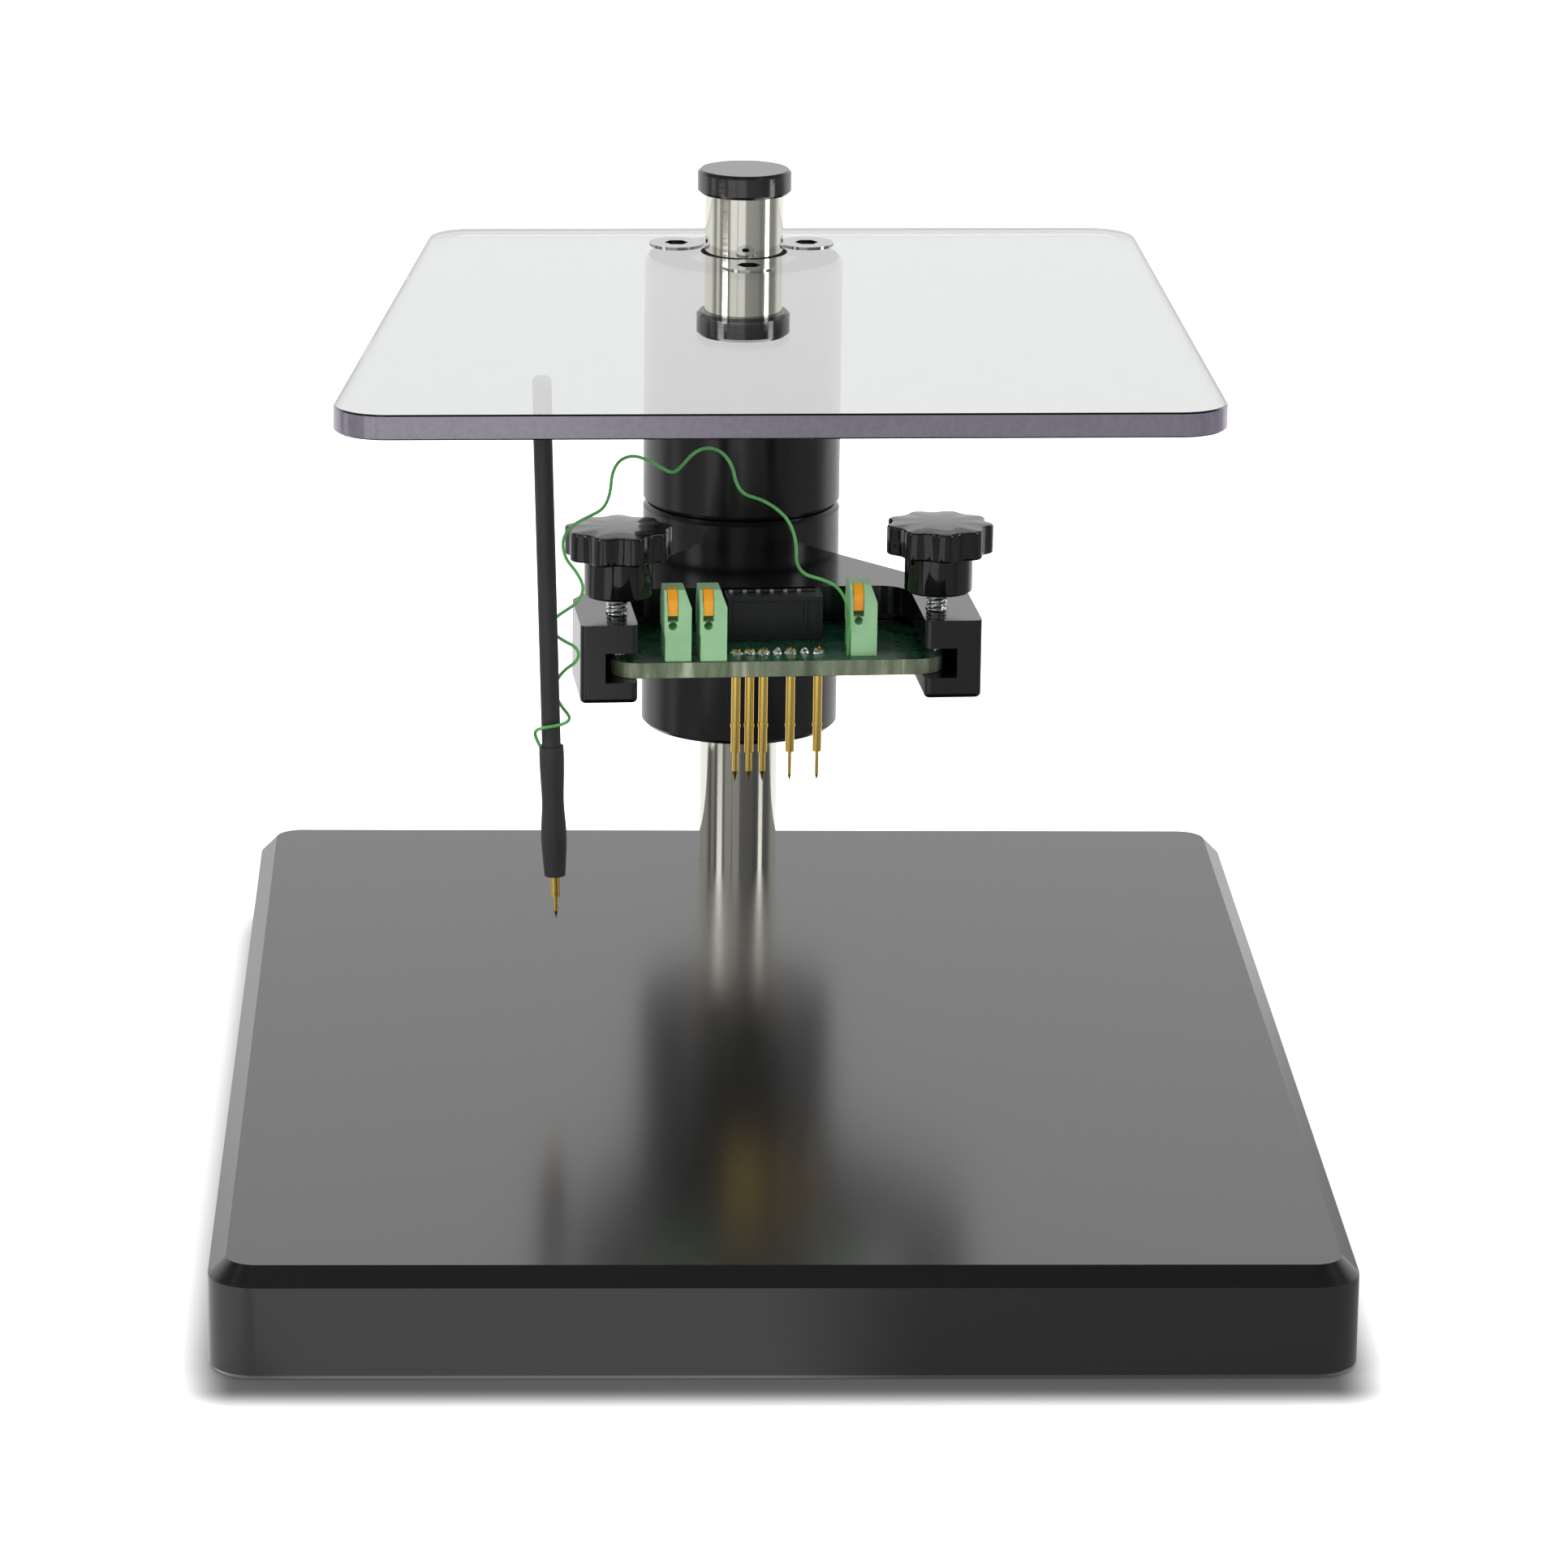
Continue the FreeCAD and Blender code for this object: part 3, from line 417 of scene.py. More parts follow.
# %% [markdown]
# The top plate is clear polycarbonate. Seen at a low angle it mirrors the pale studio, and the
# cap's image shows in it, so a coat gives the strong low-angle mirror of the real sheet. Light
# that runs the long way to a sawn edge comes out violet. Faces and edges are told apart by their
# normal, and the edges are a dull violet grey with no light through them.

# %% Clear plate finish
plate_tint = (196, 202, 199)
sawn_roughness = 0.45


def clear_finish():
    material = new_finish("clear_polycarbonate", plate_tint, 0.0, ior=1.58)
    tree = material.node_tree
    shader = tree.nodes["Principled BSDF"]
    shader.inputs["Coat Weight"].default_value = 1.0
    shader.inputs["Coat IOR"].default_value = 2.2
    shader.inputs["Coat Roughness"].default_value = 0.0
    x, y, z = split_axes(tree, "Normal")
    face = maths(tree, "GREATER_THAN", maths(tree, "ABSOLUTE", z), 0.5)
    feed(material, "Transmission Weight", face)
    sawn = noise_in(material, 900.0, 4.0)
    edge_colour = ramp(material, sawn, [(0.3, linear(80, 71, 91)), (0.7, linear(92, 82, 104))])
    feed(material, "Base Color", mix_colours(tree, face, edge_colour, linear(*plate_tint)))
    dull = tree.nodes.new("ShaderNodeMapRange")
    dull.inputs["To Min"].default_value = sawn_roughness
    dull.inputs["To Max"].default_value = 0.0
    tree.links.new(face, dull.inputs["Value"])
    feed(material, "Roughness", dull.outputs["Result"])
    return material


clear_plate = clear_finish()
print("clear finish made")

# %% [markdown]
# Each node of the frame keeps its shape and takes one of these finishes. The list pairs a
# finish with the nodes that wear it; numbered nodes are found by the start of their name.

# %% Finishes on the frame's nodes
finishes = {
    "base_plate": base_black, "column_screw": black_steel, "column_cap": cap_black,
    "column": ground_steel, "lower_bush": bush_bronze, "upper_bush": bush_bronze,
    "lower_sleeve": sleeve_black, "upper_sleeve": sleeve_black, "yoke": yoke_black,
    "yoke_screws": black_steel, "adapter_board": board_green, "solder_joints": solder,
    "header_box": header_black, "header_contacts": tin_contact, "top_plate": clear_plate,
    "plate_screws": bright_steel, "pen_tube": shrink_black, "pen_shrink": shrink_black,
    "pen_socket": gold_probe, "pen_plunger": gold_probe, "jumper_wire": wire_green,
}
families = {
    "clamp_stud": zinc_steel, "lower_lock_stud": zinc_steel, "upper_lock_stud": zinc_steel,
    "clamp_knob": knob_black, "lower_lock_knob": knob_black, "upper_lock_knob": knob_black,
    "terminal_lever": lever_orange, "terminal": terminal_green, "probe": gold_probe,
}


def finish_for(node):
    if node in finishes:
        return finishes[node]
    return next(finish for start, finish in families.items() if node.startswith(start))


def wear(piece, finish):
    piece.data.materials.clear()
    piece.data.materials.append(finish)


for node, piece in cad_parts.items():
    for material_slot in piece.material_slots:
        material_slot.material = finish_for(node)
    if not piece.material_slots:
        piece.data.materials.append(finish_for(node))
print("finishes set on", len(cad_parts), "nodes")

# %% [markdown]
# A thin green wire runs from the board up in loose waves and down beside the hand-held probe.
# It is one NURBS line through listed points. The plate can lift and swing away from the
# board, so the sheath is made in two lengths that meet at a crest.

# %% The wire's route
wire_thickness = 0.6 * mm
wire_points = [
    (0.0166, 0.0391, 0.07845), (0.0166, 0.0391, 0.0818), (0.0167, 0.0372, 0.0854),
    (0.0162, 0.0352, 0.0893), (0.0144, 0.0339, 0.0928), (0.0115, 0.0335, 0.0943),
    (0.0080, 0.0330, 0.0953), (0.0065, 0.0325, 0.0976), (0.0066, 0.0320, 0.1014),
    (0.0053, 0.0315, 0.1056), (0.0029, 0.0310, 0.1082), (-0.0001, 0.0305, 0.1101),
    (-0.0034, 0.0300, 0.1111), (-0.0048, 0.0295, 0.1135), (-0.0054, 0.0290, 0.1167),
    (-0.0073, 0.0280, 0.1195), (-0.0099, 0.0270, 0.1207), (-0.0125, 0.0260, 0.1199),
    (-0.0144, 0.0250, 0.1179), (-0.0162, 0.0240, 0.1163), (-0.0185, 0.0230, 0.1177),
    (-0.0212, 0.0220, 0.1195), (-0.0238, 0.0205, 0.1206), (-0.0262, 0.0190, 0.1200),
    (-0.0275, 0.0180, 0.1177), (-0.0277, 0.0165, 0.1146), (-0.0289, 0.0150, 0.1119),
    (-0.0318, 0.0135, 0.1108), (-0.0349, 0.0120, 0.1095), (-0.0365, 0.0105, 0.1072),
    (-0.0359, 0.0090, 0.1042), (-0.0338, 0.0075, 0.1021), (-0.0324, 0.0065, 0.0995),
    (-0.0335, 0.0056, 0.0970), (-0.0362, 0.0048, 0.0954), (-0.0383, 0.0042, 0.0940),
    (-0.0383, 0.0040, 0.0919), (-0.0362, 0.0040, 0.0903), (-0.0335, 0.0042, 0.0889),
    (-0.0334, 0.0042, 0.0866), (-0.0364, 0.0040, 0.0846), (-0.0382, 0.0039, 0.0814),
    (-0.0365, 0.0036, 0.0782), (-0.0349, 0.0018, 0.0768), (-0.0353, -0.0004, 0.0764),
    (-0.0372, -0.0019, 0.0761), (-0.0396, -0.0020, 0.0758), (-0.0412, -0.0008, 0.0750),
    (-0.0412, 0.0004, 0.0734), (-0.0403, 0.0005, 0.07165),
]


def wire_line():
    curve = bpy.data.curves.new("wire_line", "CURVE")
    curve.dimensions = "3D"
    curve.resolution_u = 8
    spline = curve.splines.new("NURBS")
    spline.points.add(len(wire_points) - 1)
    for point, place in zip(spline.points, wire_points):
        point.co = (*place, 1)
    spline.order_u = 3
    spline.use_endpoint_u = True
    holder = bpy.data.objects.new("wire_line", curve)
    mesh = bpy.data.meshes.new_from_object(holder)
    line = [vertex.co.copy() for vertex in mesh.vertices]
    bpy.data.meshes.remove(mesh)
    bpy.data.objects.remove(holder)
    return line


def length_of(line):
    return sum((b - a).length for a, b in zip(line, line[1:]))


wire_path = wire_line()
print("wire", round(length_of(wire_path) / mm, 1), "mm in", len(wire_path), "points")

# %% [markdown]
# A tube is swept along each length of the line, and the length of each is printed.

# %% The wire's two lengths of sheath
crest = Vector(wire_points[11])
crest_index = min(range(len(wire_path)), key=lambda i: (wire_path[i] - crest).length)


def wire_tube(name, line):
    curve = bpy.data.curves.new(name, "CURVE")
    curve.dimensions = "3D"
    curve.bevel_depth = wire_thickness / 2
    curve.bevel_resolution = 4
    curve.use_fill_caps = True
    spline = curve.splines.new("POLY")
    spline.points.add(len(line) - 1)
    for point, place in zip(spline.points, line):
        point.co = (*place, 1)
    holder = bpy.data.objects.new(name + "_line", curve)
    mesh = bpy.data.meshes.new_from_object(holder)
    bpy.data.objects.remove(holder)
    tube = bpy.data.objects.new(name, mesh)
    bpy.context.scene.collection.objects.link(tube)
    wear(tube, wire_green)
    smooth(tube, 60)
    return tube


def declare_wire(name, line):
    tube = wire_tube(name, line)
    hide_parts("jumper_wire")
    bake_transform(tube)
    return length_of(line)


rising = declare_wire("wire_rising", wire_path[:crest_index + 1])
falling = declare_wire("wire_falling", wire_path[crest_index:])
print("sheath lengths", round(rising / mm, 1), "and", round(falling / mm, 1), "mm")

# %% [markdown]
# The star knob has nine round lobes joined by hollows. Its outline is one formula: an arc of the
# lobe's radius, and between two lobes an arc that touches both and dips to the hollow's root.

# %% Star knob outline
lobe_count = 9
lobe_sides = 18
knob_radius = 10.0 * mm
lobe_radius = 2.3 * mm
hollow_depth = 1.1 * mm
head_height = 5.7 * mm
hub_radius = 6.3 * mm
hub_height = 7.4 * mm
dome_height = 0.3 * mm
dome_rings = ((0.94, 0.12), (0.9, 0.2), (0.86, 0.22), (0.8, 0.2), (0.7, 0.15), (0.5, 0.11))


def star_radius(angle):
    half_step = math.pi / lobe_count
    away = abs((angle + half_step) % (2 * half_step) - half_step)
    out, root = knob_radius - lobe_radius, knob_radius - hollow_depth
    lean = out * math.cos(half_step)
    hollow = (lobe_radius ** 2 - out ** 2 - root ** 2 + 2 * root * lean)
    hollow /= 2 * (root - lean - lobe_radius)
    far = root + hollow
    lobe_centre = Vector((out, 0))
    gap_centre = Vector((far * math.cos(half_step), far * math.sin(half_step)))
    touch = lobe_centre + (gap_centre - lobe_centre).normalized() * lobe_radius
    if away <= math.atan2(touch.y, touch.x):
        return out * math.cos(away) + math.sqrt(lobe_radius ** 2 - (out * math.sin(away)) ** 2)
    rest = half_step - away
    return far * math.cos(rest) - math.sqrt(hollow ** 2 - (far * math.sin(rest)) ** 2)


radii = [star_radius(step * math.pi / lobe_count / 8) / mm for step in range(9)]
print("knob outline from", round(min(radii), 2), "to", round(max(radii), 2), "mm")

# %% [markdown]
# Edit mode works on selected faces or edges. The selection is made in code, by place or by
# height, so these helpers clear it first and go in and out of edit mode.

# %% Helpers for edit mode


def edit(piece, mode="FACE"):
    pick(piece)
    bpy.ops.object.mode_set(mode="EDIT")
    bpy.ops.mesh.select_mode(type=mode)
    bpy.ops.mesh.select_all(action="DESELECT")
    bpy.ops.object.mode_set(mode="OBJECT")


def back_to_edit():
    bpy.ops.object.mode_set(mode="EDIT")


def leave_edit():
    bpy.ops.object.mode_set(mode="OBJECT")


print("edit helpers ready")

# %% [markdown]
# The head starts as a cylinder with a point for every step round the outline, and each point
# moves to the outline's radius. Its rims are bevelled, its top face is extruded inwards ring by
# ring into a low dome, and a plain round hub goes under it.

# %% Knob head and hub


def knob_head():
    side_height = head_height - dome_height
    bpy.ops.mesh.primitive_cylinder_add(vertices=lobe_count * lobe_sides, radius=knob_radius,
                                        depth=side_height, location=(0, 0, 0))
    head = bpy.context.object
    for vertex in head.data.vertices:
        angle = math.atan2(vertex.co.y, vertex.co.x)
        radius = star_radius(angle)
        vertex.co.x, vertex.co.y = radius * math.cos(angle), radius * math.sin(angle)
    edit(head, "EDGE")
    for edge in head.data.edges:
        heights = [head.data.vertices[i].co.z for i in edge.vertices]
        edge.select = abs(heights[0] - heights[1]) < 1e-6
    back_to_edit()
    bpy.ops.mesh.bevel(offset=0.45 * mm, segments=4, clamp_overlap=True)
    leave_edit()
    edit(head, "FACE")
    top = max(head.data.polygons, key=lambda face: (face.center.z, face.area))
    top.select = True
    back_to_edit()
    for share, rise in dome_rings:
        bpy.ops.mesh.extrude_region_move(
            TRANSFORM_OT_translate={"value": (0, 0, rise * dome_height)})
        bpy.ops.transform.resize(value=(share, share, 1), center_override=(0, 0, 0))
    leave_edit()
    head.data.transform(Matrix.Translation((0, 0, hub_height + side_height / 2)))
    return head


def knob_hub():
    bpy.ops.mesh.primitive_cylinder_add(vertices=72, radius=hub_radius, depth=hub_height + mm,
                                        location=(0, 0, (hub_height + mm) / 2))
    hub = settle(bpy.context.object)
    edit(hub, "EDGE")
    for edge in hub.data.edges:
        heights = [hub.data.vertices[i].co.z for i in edge.vertices]
        edge.select = max(heights) < 1e-6
    back_to_edit()
    bpy.ops.mesh.bevel(offset=0.5 * mm, segments=3)
    leave_edit()
    return hub


knob_shape = smooth(join("knob_shape", knob_head(), knob_hub()), 40)
wear(knob_shape, knob_black)
print("knob", len(knob_shape.data.polygons), "faces")

# %% [markdown]
# One knob is modelled and copied four times. The clamp knobs stand upright over the yoke, and
# the lock knobs point straight back from their sleeves, each turned with the sleeve it is on.

# %% Knobs in their places


def lying_back(node):
    out = middle(node) - column_axis
    heading = math.atan2(out.y, out.x)
    return Matrix.Rotation(heading, 4, "Z") @ Matrix.Rotation(math.pi / 2, 4, "Y")


def hub_face(node):
    out = middle(node) - column_axis
    out.z = 0
    half = (hub_height + head_height) / 2
    return middle(node) - out.normalized() * half


knob_turns = {"left": 0.18, "right": -0.1}
for side, spin in knob_turns.items():
    node = "clamp_knob_" + side
    foot = middle(node)
    foot.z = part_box(node)[0].z
    knob = copy_to(knob_shape, "knob_clamp_" + side, foot, Matrix.Rotation(spin, 4, "Z"))
    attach(knob, "clamp_grip_" + side)
    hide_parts(node)
for level in ("lower", "upper"):
    node = level + "_lock_knob"
    knob = copy_to(knob_shape, "knob_lock_" + level, hub_face(node), lying_back(node))
    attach(knob, level + "_lock_grip")
    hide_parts(node)
remove(knob_shape)
print("knobs placed")

# %% [markdown]
# The studs carry an M4 thread. A cylinder is cut into many rings, eight to a turn, and each point
# moves in or out by where it lies along the helix. Seen close, so few rings still look coarse.

# %% Threaded studs
stud_radius = 2.0 * mm
thread_pitch = 0.7 * mm
thread_depth = 0.38 * mm
thread_slope = 2.4
rings_per_turn = 8
thread_sides = 32


def threaded_rod(length):
    bpy.ops.mesh.primitive_cylinder_add(vertices=thread_sides, radius=stud_radius, depth=length,
                                        location=(0, 0, length / 2))
    rod = settle(bpy.context.object)
    edit(rod, "EDGE")
    for edge in rod.data.edges:
        heights = [rod.data.vertices[i].co.z for i in edge.vertices]
        edge.select = abs(heights[0] - heights[1]) > length / 2
    back_to_edit()
    bpy.ops.mesh.subdivide(number_cuts=int(length / thread_pitch * rings_per_turn))
    leave_edit()
    for vertex in rod.data.vertices:
        turn = math.atan2(vertex.co.y, vertex.co.x) / (2 * math.pi)
        phase = (vertex.co.z / thread_pitch - turn) % 1.0
        depth = thread_depth * max(0.0, 1.0 - abs(phase - 0.5) * thread_slope)
        end = min(vertex.co.z, length - vertex.co.z) / thread_pitch
        radius = stud_radius - depth - thread_depth * max(0.0, 1.0 - end)
        flat = math.hypot(vertex.co.x, vertex.co.y)
        vertex.co.x *= radius / flat
        vertex.co.y *= radius / flat
    wear(rod, zinc_steel)
    return smooth(rod, 50)


def stud_length(node):
    low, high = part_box(node)
    return max(high.z - low.z, high.y - low.y)


for side in knob_turns:
    node = "clamp_stud_" + side
    foot = middle(node)
    foot.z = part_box(node)[0].z
    rod = threaded_rod(stud_length(node))
    stud = copy_to(rod, "stud_clamp_" + side, foot)
    remove(rod)
    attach(stud, "clamp_screw_" + side)
    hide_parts(node)
for level in ("lower", "upper"):
    node = level + "_lock_stud"
    out = middle(node) - column_axis
    out.z = 0
    rod = threaded_rod(stud_length(node))
    start = middle(node) - out.normalized() * stud_length(node) / 2
    stud = copy_to(rod, "stud_lock_" + level, start, lying_back(node))
    remove(rod)
    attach(stud, level + "_lock_screw")
    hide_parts(node)
print("studs threaded")

# %% [markdown]
# Milled and moulded pieces have edges broken by a small radius that catches the light. The
# frame's own mesh is left alone: a copy is welded, its flat faces are merged, and a narrow
# bevel goes on every sharp edge. The copy then stands for the node.

# %% Broken edges


def broken_edges(node, body, width, segments=2, angle=30):
    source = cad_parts[node]
    piece = bpy.data.objects.new(node + "_dressed", source.data.copy())
    bpy.context.scene.collection.objects.link(piece)
    pick(piece)
    bpy.ops.object.mode_set(mode="EDIT")
    bpy.ops.mesh.select_all(action="SELECT")
    bpy.ops.mesh.remove_doubles(threshold=0.001 * mm)
    bpy.ops.mesh.dissolve_limited(angle_limit=math.radians(0.5))
    bpy.ops.object.mode_set(mode="OBJECT")
    edge_bevel = piece.modifiers.new("edge_bevel", "BEVEL")
    edge_bevel.width = width * mm
    edge_bevel.segments = segments
    edge_bevel.limit_method = "ANGLE"
    edge_bevel.angle_limit = math.radians(angle)
    apply_modifiers(piece)
    pick(piece)
    bpy.ops.object.shade_smooth()
    flat_faces = piece.modifiers.new("flat_faces", "WEIGHTED_NORMAL")
    flat_faces.weight = 100
    apply_modifiers(piece)
    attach(piece, body)
    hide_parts(node)
    return piece


broken_edges("yoke", "board_arm", 0.3)
broken_edges("header_box", "board_arm", 0.12)
for number in (1, 2, 3):
    broken_edges("terminal_%d" % number, "board_arm", 0.12)
print("edges broken")

# %% [markdown]
# The header's top is closed but for one narrow slot over its contacts. Two thin strips close
# the frame's wider slot, each a cube drawn out to size with bevelled edges.

# %% Header top
header_size = (17.8 * mm, 6.4 * mm)
header_wall = 0.9 * mm
strip_thickness = 0.5 * mm
slot_from_back = 1.55 * mm
slot_width = 0.95 * mm


def top_strip(name, front, back):
    # front and back are distances from the header's rear face.
    low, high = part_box("header_box")
    width = header_size[0] - 2 * header_wall
    centre = Vector((0, header_size[1] / 2 - (front + back) / 2, high.z - strip_thickness / 2))
    bpy.ops.mesh.primitive_cube_add(size=1, location=centre)
    strip = bpy.context.object
    strip.scale = (width, front - back, strip_thickness)
    settle(strip)
    edge_bevel = strip.modifiers.new("edge_bevel", "BEVEL")
    edge_bevel.width = 0.08 * mm
    edge_bevel.segments = 2
    apply_modifiers(strip)
    at = middle("header_box")
    at.z = 0
    strip.data.transform(Matrix.Translation(at) @ Matrix.Rotation(arm_turn, 4, "Z"))
    strip.name = name
    return strip


inner_front = header_size[1] - header_wall
header_top = join("header_top", top_strip("front_strip", inner_front, slot_from_back + slot_width),
                  top_strip("back_strip", slot_from_back, header_wall))
wear(header_top, header_black)
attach(header_top, "board_arm")
print("header top closed")

# %% [markdown]
# Hand-made solder joints are small shiny hills, no two alike. Each starts as a sphere cut flat
# at the board, pulled up to a crown and pushed in and out by noise, with its own seed.

# %% Solder joints
from mathutils import noise

solder_radius = 1.2 * mm
solder_height = 0.95 * mm
small_share = 0.75
probe_numbers = (0, 1, 2, 4, 6)
spare_radius = 0.55 * mm
spare_height = 0.4 * mm
spare_numbers = (2.15, 3.15)
spare_inset = 2.6 * mm


def solder_hill(seed, place, radius, height):
    bpy.ops.mesh.primitive_uv_sphere_add(segments=28, ring_count=16, radius=radius,
                                         location=(0, 0, 0))
    hill = bpy.context.object
    edit(hill, "FACE")
    back_to_edit()
    bpy.ops.mesh.select_all(action="SELECT")
    bpy.ops.mesh.bisect(plane_co=(0, 0, 0), plane_no=(0, 0, 1), clear_inner=True, use_fill=True)
    leave_edit()
    offset = Vector((seed * 7.3, seed * 3.1, seed * 1.7))
    for vertex in hill.data.vertices:
        flat = math.hypot(vertex.co.x, vertex.co.y) / radius
        rise = max(0.0, vertex.co.z / radius)
        crown = height * rise ** 1.3
        swell = 1 + 0.22 * noise.noise(vertex.co / radius * 1.9 + offset)
        dent = 1 + 0.3 * noise.noise(vertex.co / radius * 3.1 + offset * 2)
        vertex.co.x *= swell * (0.82 + 0.18 * flat)
        vertex.co.y *= swell * (0.82 + 0.18 * flat)
        vertex.co.z = crown * dent
    hill.location = place
    return smooth(settle(hill), 60)


first_probe, last_probe = middle("probe_socket_1"), middle("probe_socket_5")
probe_step = (last_probe - first_probe) / probe_numbers[-1]
toward_column = Vector((-math.sin(arm_turn), math.cos(arm_turn), 0))
hills = []
for number in range(probe_numbers[-1] + 1):
    at = first_probe + probe_step * number
    at.z = board_high.z
    share = 1.0 if number in probe_numbers else small_share
    hills.append(solder_hill(number + 1, at, solder_radius * share, solder_height))
for number in spare_numbers:
    at = first_probe + probe_step * number + toward_column * spare_inset
    at.z = board_high.z
    hills.append(solder_hill(11 + number, at, spare_radius, spare_height))
solder_hills = join("solder_hills", *hills)
wear(solder_hills, solder)
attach(solder_hills, "board_arm")
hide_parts("solder_joints")
print("solder joints", len(hills))

# %% [markdown]
# Black and bright pieces look like what they mirror, so the room matters more than the lamps.
# It is white behind the object and dim beside it and in front, with a few pale windows. One
# list gives its brightness by the angle from straight ahead, where ahead is towards the viewer.

# %% The room's brightness
room_levels = [(-180, 1.0), (-112, 1.0), (-97, 0.34), (-92, 0.34), (-88, 0.8), (-80, 0.8),
               (-76, 0.34), (-45, 0.38), (-40, 1.0), (-22, 1.0), (-20, 0.6), (-18, 1.0), (0, 1.0),
               (5, 0.4), (40, 0.34), (52, 0.22), (60, 0.34), (95, 0.3), (105, 0.46), (118, 1.0),
               (180, 1.0)]


def room_by_angle(tree, across, ahead):
    # The room's brightness by the angle from straight ahead, as room_levels gives it.
    angle = maths(tree, "ARCTAN2", across, ahead)
    turn = tree.nodes.new("ShaderNodeMapRange")
    turn.inputs["From Min"].default_value = -math.pi
    turn.inputs["From Max"].default_value = math.pi
    tree.links.new(angle, turn.inputs["Value"])
    shades = tree.nodes.new("ShaderNodeValToRGB")
    while len(shades.color_ramp.elements) < len(room_levels):
        shades.color_ramp.elements.new(0.5)
    for element, (degrees, level) in zip(shades.color_ramp.elements, room_levels):
        element.position = (degrees + 180) / 360
        element.color = (level, level, level, 1)
    tree.links.new(turn.outputs["Result"], shades.inputs["Fac"])
    return shades.outputs["Color"]


def seen_directly(tree):
    # 1 for what the camera, a mirror or glass looks at, and 0 for light that falls on a surface.
    path = tree.nodes.new("ShaderNodeLightPath")
    first = maths(tree, "MAXIMUM", path.outputs["Is Camera Ray"], path.outputs["Is Glossy Ray"])
    return maths(tree, "MAXIMUM", first, path.outputs["Is Transmission Ray"])


print("room has", len(room_levels), "levels")

# %% [markdown]
# The floor is a wide pale sheet that glows a little where the camera or glass looks at it, so
# that it reads as white. A mirror sees the room's levels in it instead. A soft dark line is drawn
# on it round the base, where the base keeps the light out.

# %% Floor
floor_reach = 6.0
floor_pale = (235, 235, 235)
floor_glow = 0.35
shade_inset = 5 * mm
shade_forward = 4 * mm
shade_reach = 15 * mm
shade_floor = 0.1


def contact_shade(tree, x, y):
    # Darkest where the base meets the floor, and clear of shade a shadow's length away from it.
    low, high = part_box("base_plate")
    half_width, half_depth = (high.x - low.x) / 2 - shade_inset, (high.y - low.y) / 2
    out_x = maths(tree, "SUBTRACT", maths(tree, "ABSOLUTE", x), half_width)
    shifted = maths(tree, "ABSOLUTE", maths(tree, "ADD", y, shade_forward))
    out_y = maths(tree, "SUBTRACT", shifted, half_depth)
    far_x = maths(tree, "POWER", maths(tree, "MAXIMUM", out_x, 0.0), 2.0)
    far_y = maths(tree, "POWER", maths(tree, "MAXIMUM", out_y, 0.0), 2.0)
    far = maths(tree, "SQRT", maths(tree, "ADD", far_x, far_y))
    shade = tree.nodes.new("ShaderNodeMapRange")
    shade.interpolation_type = "SMOOTHSTEP"
    shade.inputs["From Max"].default_value = shade_reach
    shade.inputs["To Min"].default_value = shade_floor
    tree.links.new(far, shade.inputs["Value"])
    return shade.outputs["Result"]


def add_floor():
    bpy.ops.mesh.primitive_plane_add(size=2 * floor_reach, location=(0, 0, cad_low.z))
    floor = bpy.context.object
    floor.name = "studio_floor"
    material = new_finish("pale_floor", floor_pale, 0.8)
    tree = material.node_tree
    x, y, z = split_axes(tree, "Object")
    shade = contact_shade(tree, x, y)
    shader = tree.nodes["Principled BSDF"]
    shader.inputs["Specular IOR Level"].default_value = 0.0
    shader.inputs["Emission Color"].default_value = (1, 1, 1, 1)
    feed(material, "Base Color", mix_colours(tree, shade, [0, 0, 0], linear(*floor_pale)))
    glow = maths(tree, "MULTIPLY", maths(tree, "MULTIPLY", seen_directly(tree), floor_glow), shade)
    tree.links.new(glow, shader.inputs["Emission Strength"])
    mirrored = tree.nodes.new("ShaderNodeEmission")
    across = maths(tree, "SUBTRACT", x, column_axis.x)
    ahead = maths(tree, "SUBTRACT", column_axis.y, y)
    tree.links.new(room_by_angle(tree, across, ahead), mirrored.inputs["Color"])
    path = tree.nodes.new("ShaderNodeLightPath")
    either = tree.nodes.new("ShaderNodeMixShader")
    tree.links.new(path.outputs["Is Glossy Ray"], either.inputs["Fac"])
    tree.links.new(shader.outputs["BSDF"], either.inputs[1])
    tree.links.new(mirrored.outputs["Emission"], either.inputs[2])
    tree.links.new(either.outputs["Shader"], tree.nodes["Material Output"].inputs["Surface"])
    wear(floor, material)
    settle(floor)
    return floor


add_floor()
print("floor laid at", round(cad_low.z / mm, 2), "mm")

# %% [markdown]
# The sky takes the same levels by angle, and fades to dim grey overhead. Mirrors and glass look
# at that sky. The camera sees plain white in its place, and the light that falls on the object
# from it is one even level.

# %% World
daylight = 1.15
height_fade = ((0.4, 1.0), (0.62, 0.14))


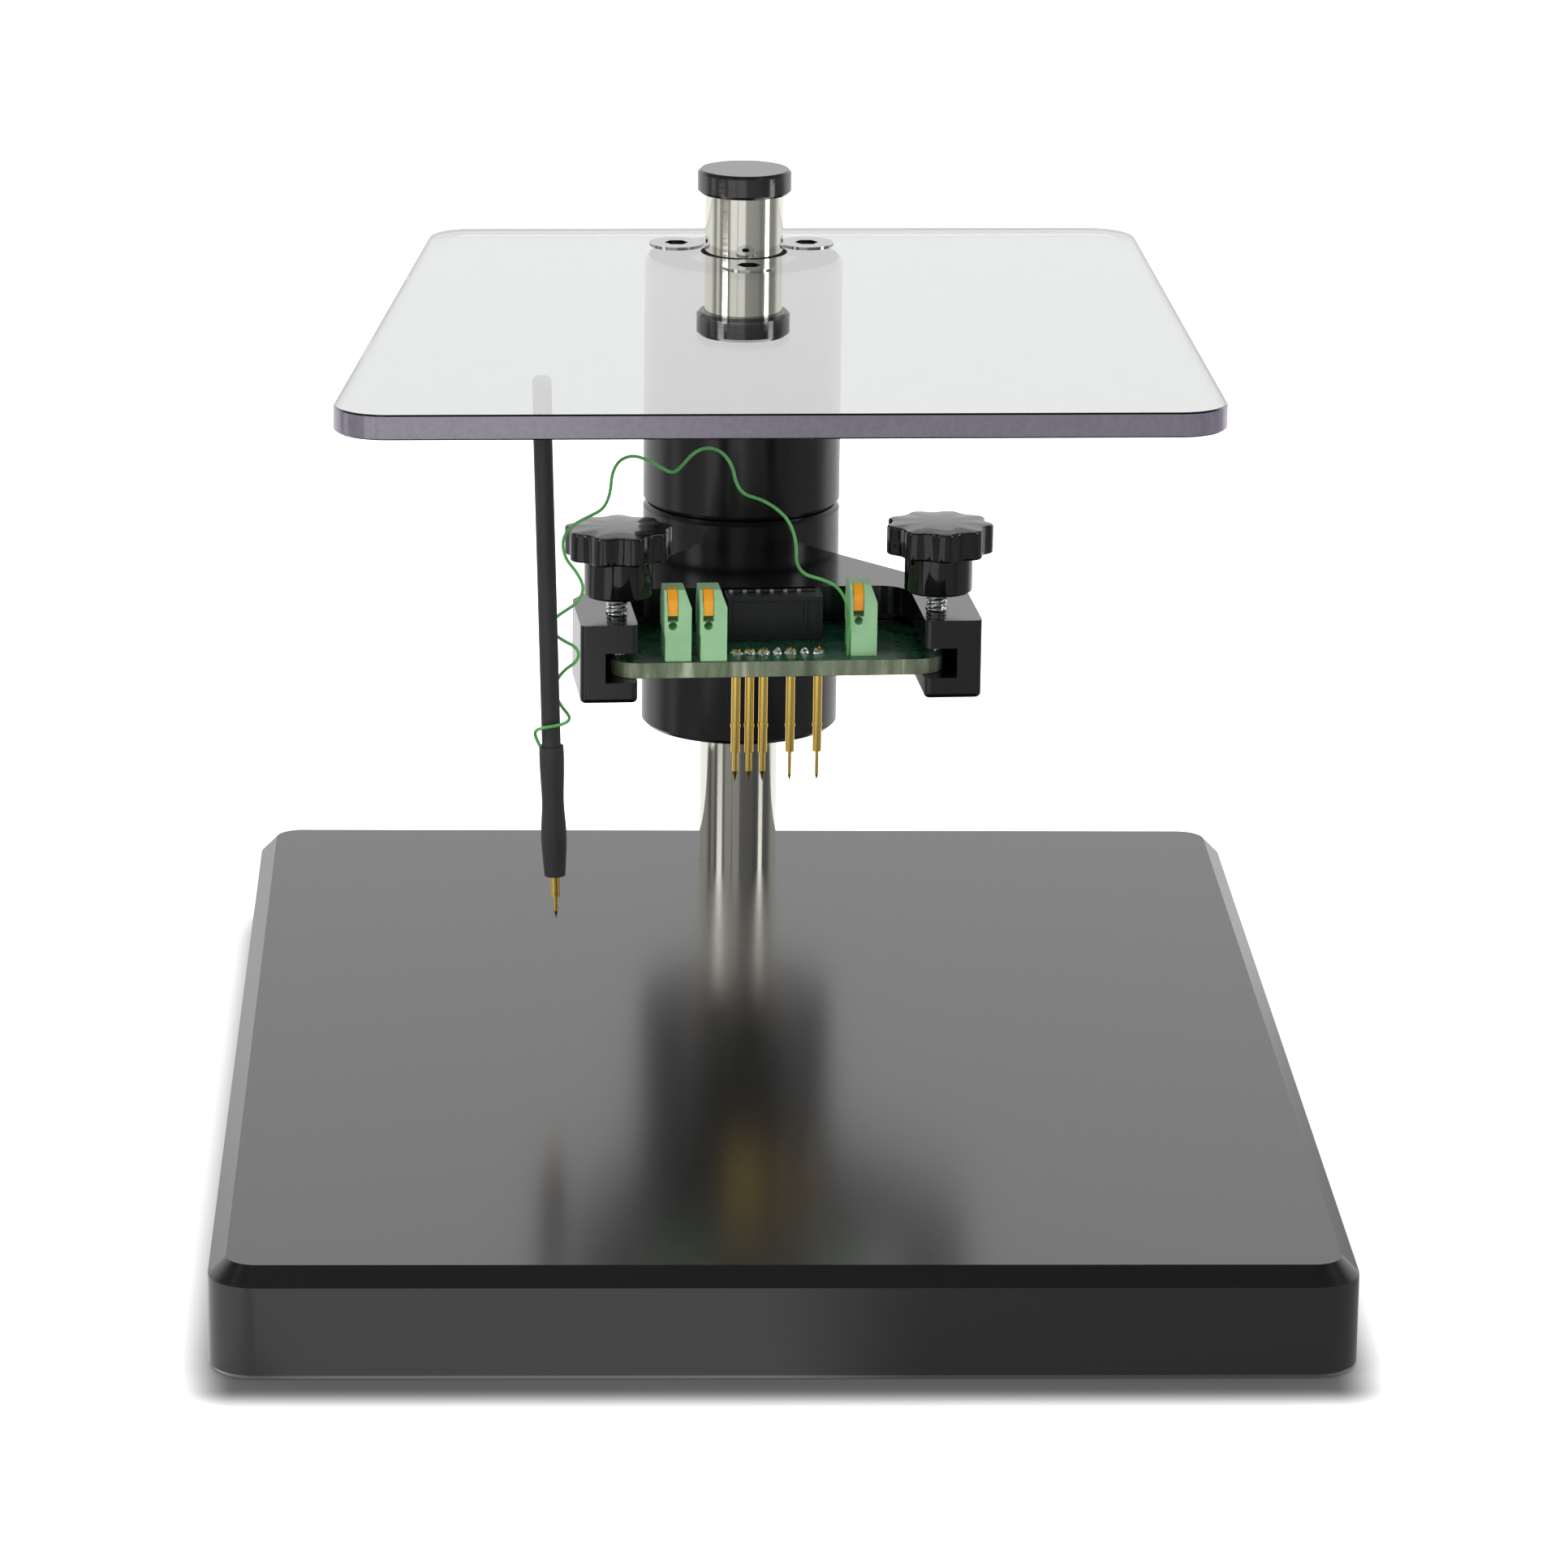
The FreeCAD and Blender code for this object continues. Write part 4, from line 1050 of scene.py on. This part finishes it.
def add_world():
    world = bpy.data.worlds.new("studio")
    bpy.context.scene.world = world
    world.use_nodes = True
    tree = world.node_tree
    x, y, z = split_axes(tree, "Generated")
    round_about = room_by_angle(tree, x, maths(tree, "MULTIPLY", y, -1.0))
    fade = tree.nodes.new("ShaderNodeValToRGB")
    for element, (place, level) in zip(fade.color_ramp.elements, height_fade):
        element.position = place
        element.color = (level, level, level, 1)
    tree.links.new(z, fade.inputs["Fac"])
    room = tree.nodes.new("ShaderNodeMix")
    room.data_type = "RGBA"
    room.blend_type = "MULTIPLY"
    room.inputs["Factor"].default_value = 1.0
    tree.links.new(round_about, room.inputs[6])
    tree.links.new(fade.outputs["Color"], room.inputs[7])
    mirrored = tree.nodes["Background"]
    tree.links.new(room.outputs[2], mirrored.inputs["Color"])
    lighting = tree.nodes.new("ShaderNodeBackground")
    lighting.inputs["Color"].default_value = (1, 1, 1, 1)
    lighting.inputs["Strength"].default_value = daylight
    white = tree.nodes.new("ShaderNodeBackground")
    white.inputs["Color"].default_value = (1, 1, 1, 1)
    path = tree.nodes.new("ShaderNodeLightPath")
    indirect = tree.nodes.new("ShaderNodeMixShader")
    tree.links.new(seen_directly(tree), indirect.inputs["Fac"])
    tree.links.new(lighting.outputs["Background"], indirect.inputs[1])
    tree.links.new(mirrored.outputs["Background"], indirect.inputs[2])
    final = tree.nodes.new("ShaderNodeMixShader")
    tree.links.new(path.outputs["Is Camera Ray"], final.inputs["Fac"])
    tree.links.new(indirect.outputs["Shader"], final.inputs[1])
    tree.links.new(white.outputs["Background"], final.inputs[2])
    tree.links.new(final.outputs["Shader"], tree.nodes["World Output"].inputs["Surface"])


add_world()
print("world set")

# %% [markdown]
# Lamps stay at a plain level. One large soft lamp hangs above and behind, and a panel on each
# side draws bright streaks on the column and the knobs.

# %% Lamps


def add_lamp(name, place, aim, width, height, watts):
    data = bpy.data.lights.new(name, "AREA")
    data.shape = "RECTANGLE"
    data.size = width
    data.size_y = height
    data.energy = watts
    lamp = bpy.data.objects.new(name, data)
    lamp.location = place
    toward = Vector(aim) - Vector(place)
    lamp.rotation_euler = toward.to_track_quat("-Z", "Y").to_euler()
    bpy.context.scene.collection.objects.link(lamp)
    return lamp


add_lamp("soft_top", (0.1, 0.55, 1.45), (0, 0, 0.05), 1.2, 0.9, 14)
add_lamp("left_panel", (-1.3, -0.7, 0.9), (0, 0, 0.08), 0.5, 0.9, 8)
add_lamp("right_panel", (1.4, -0.4, 0.8), (0, 0, 0.08), 0.4, 0.8, 5)
print("lamps set")
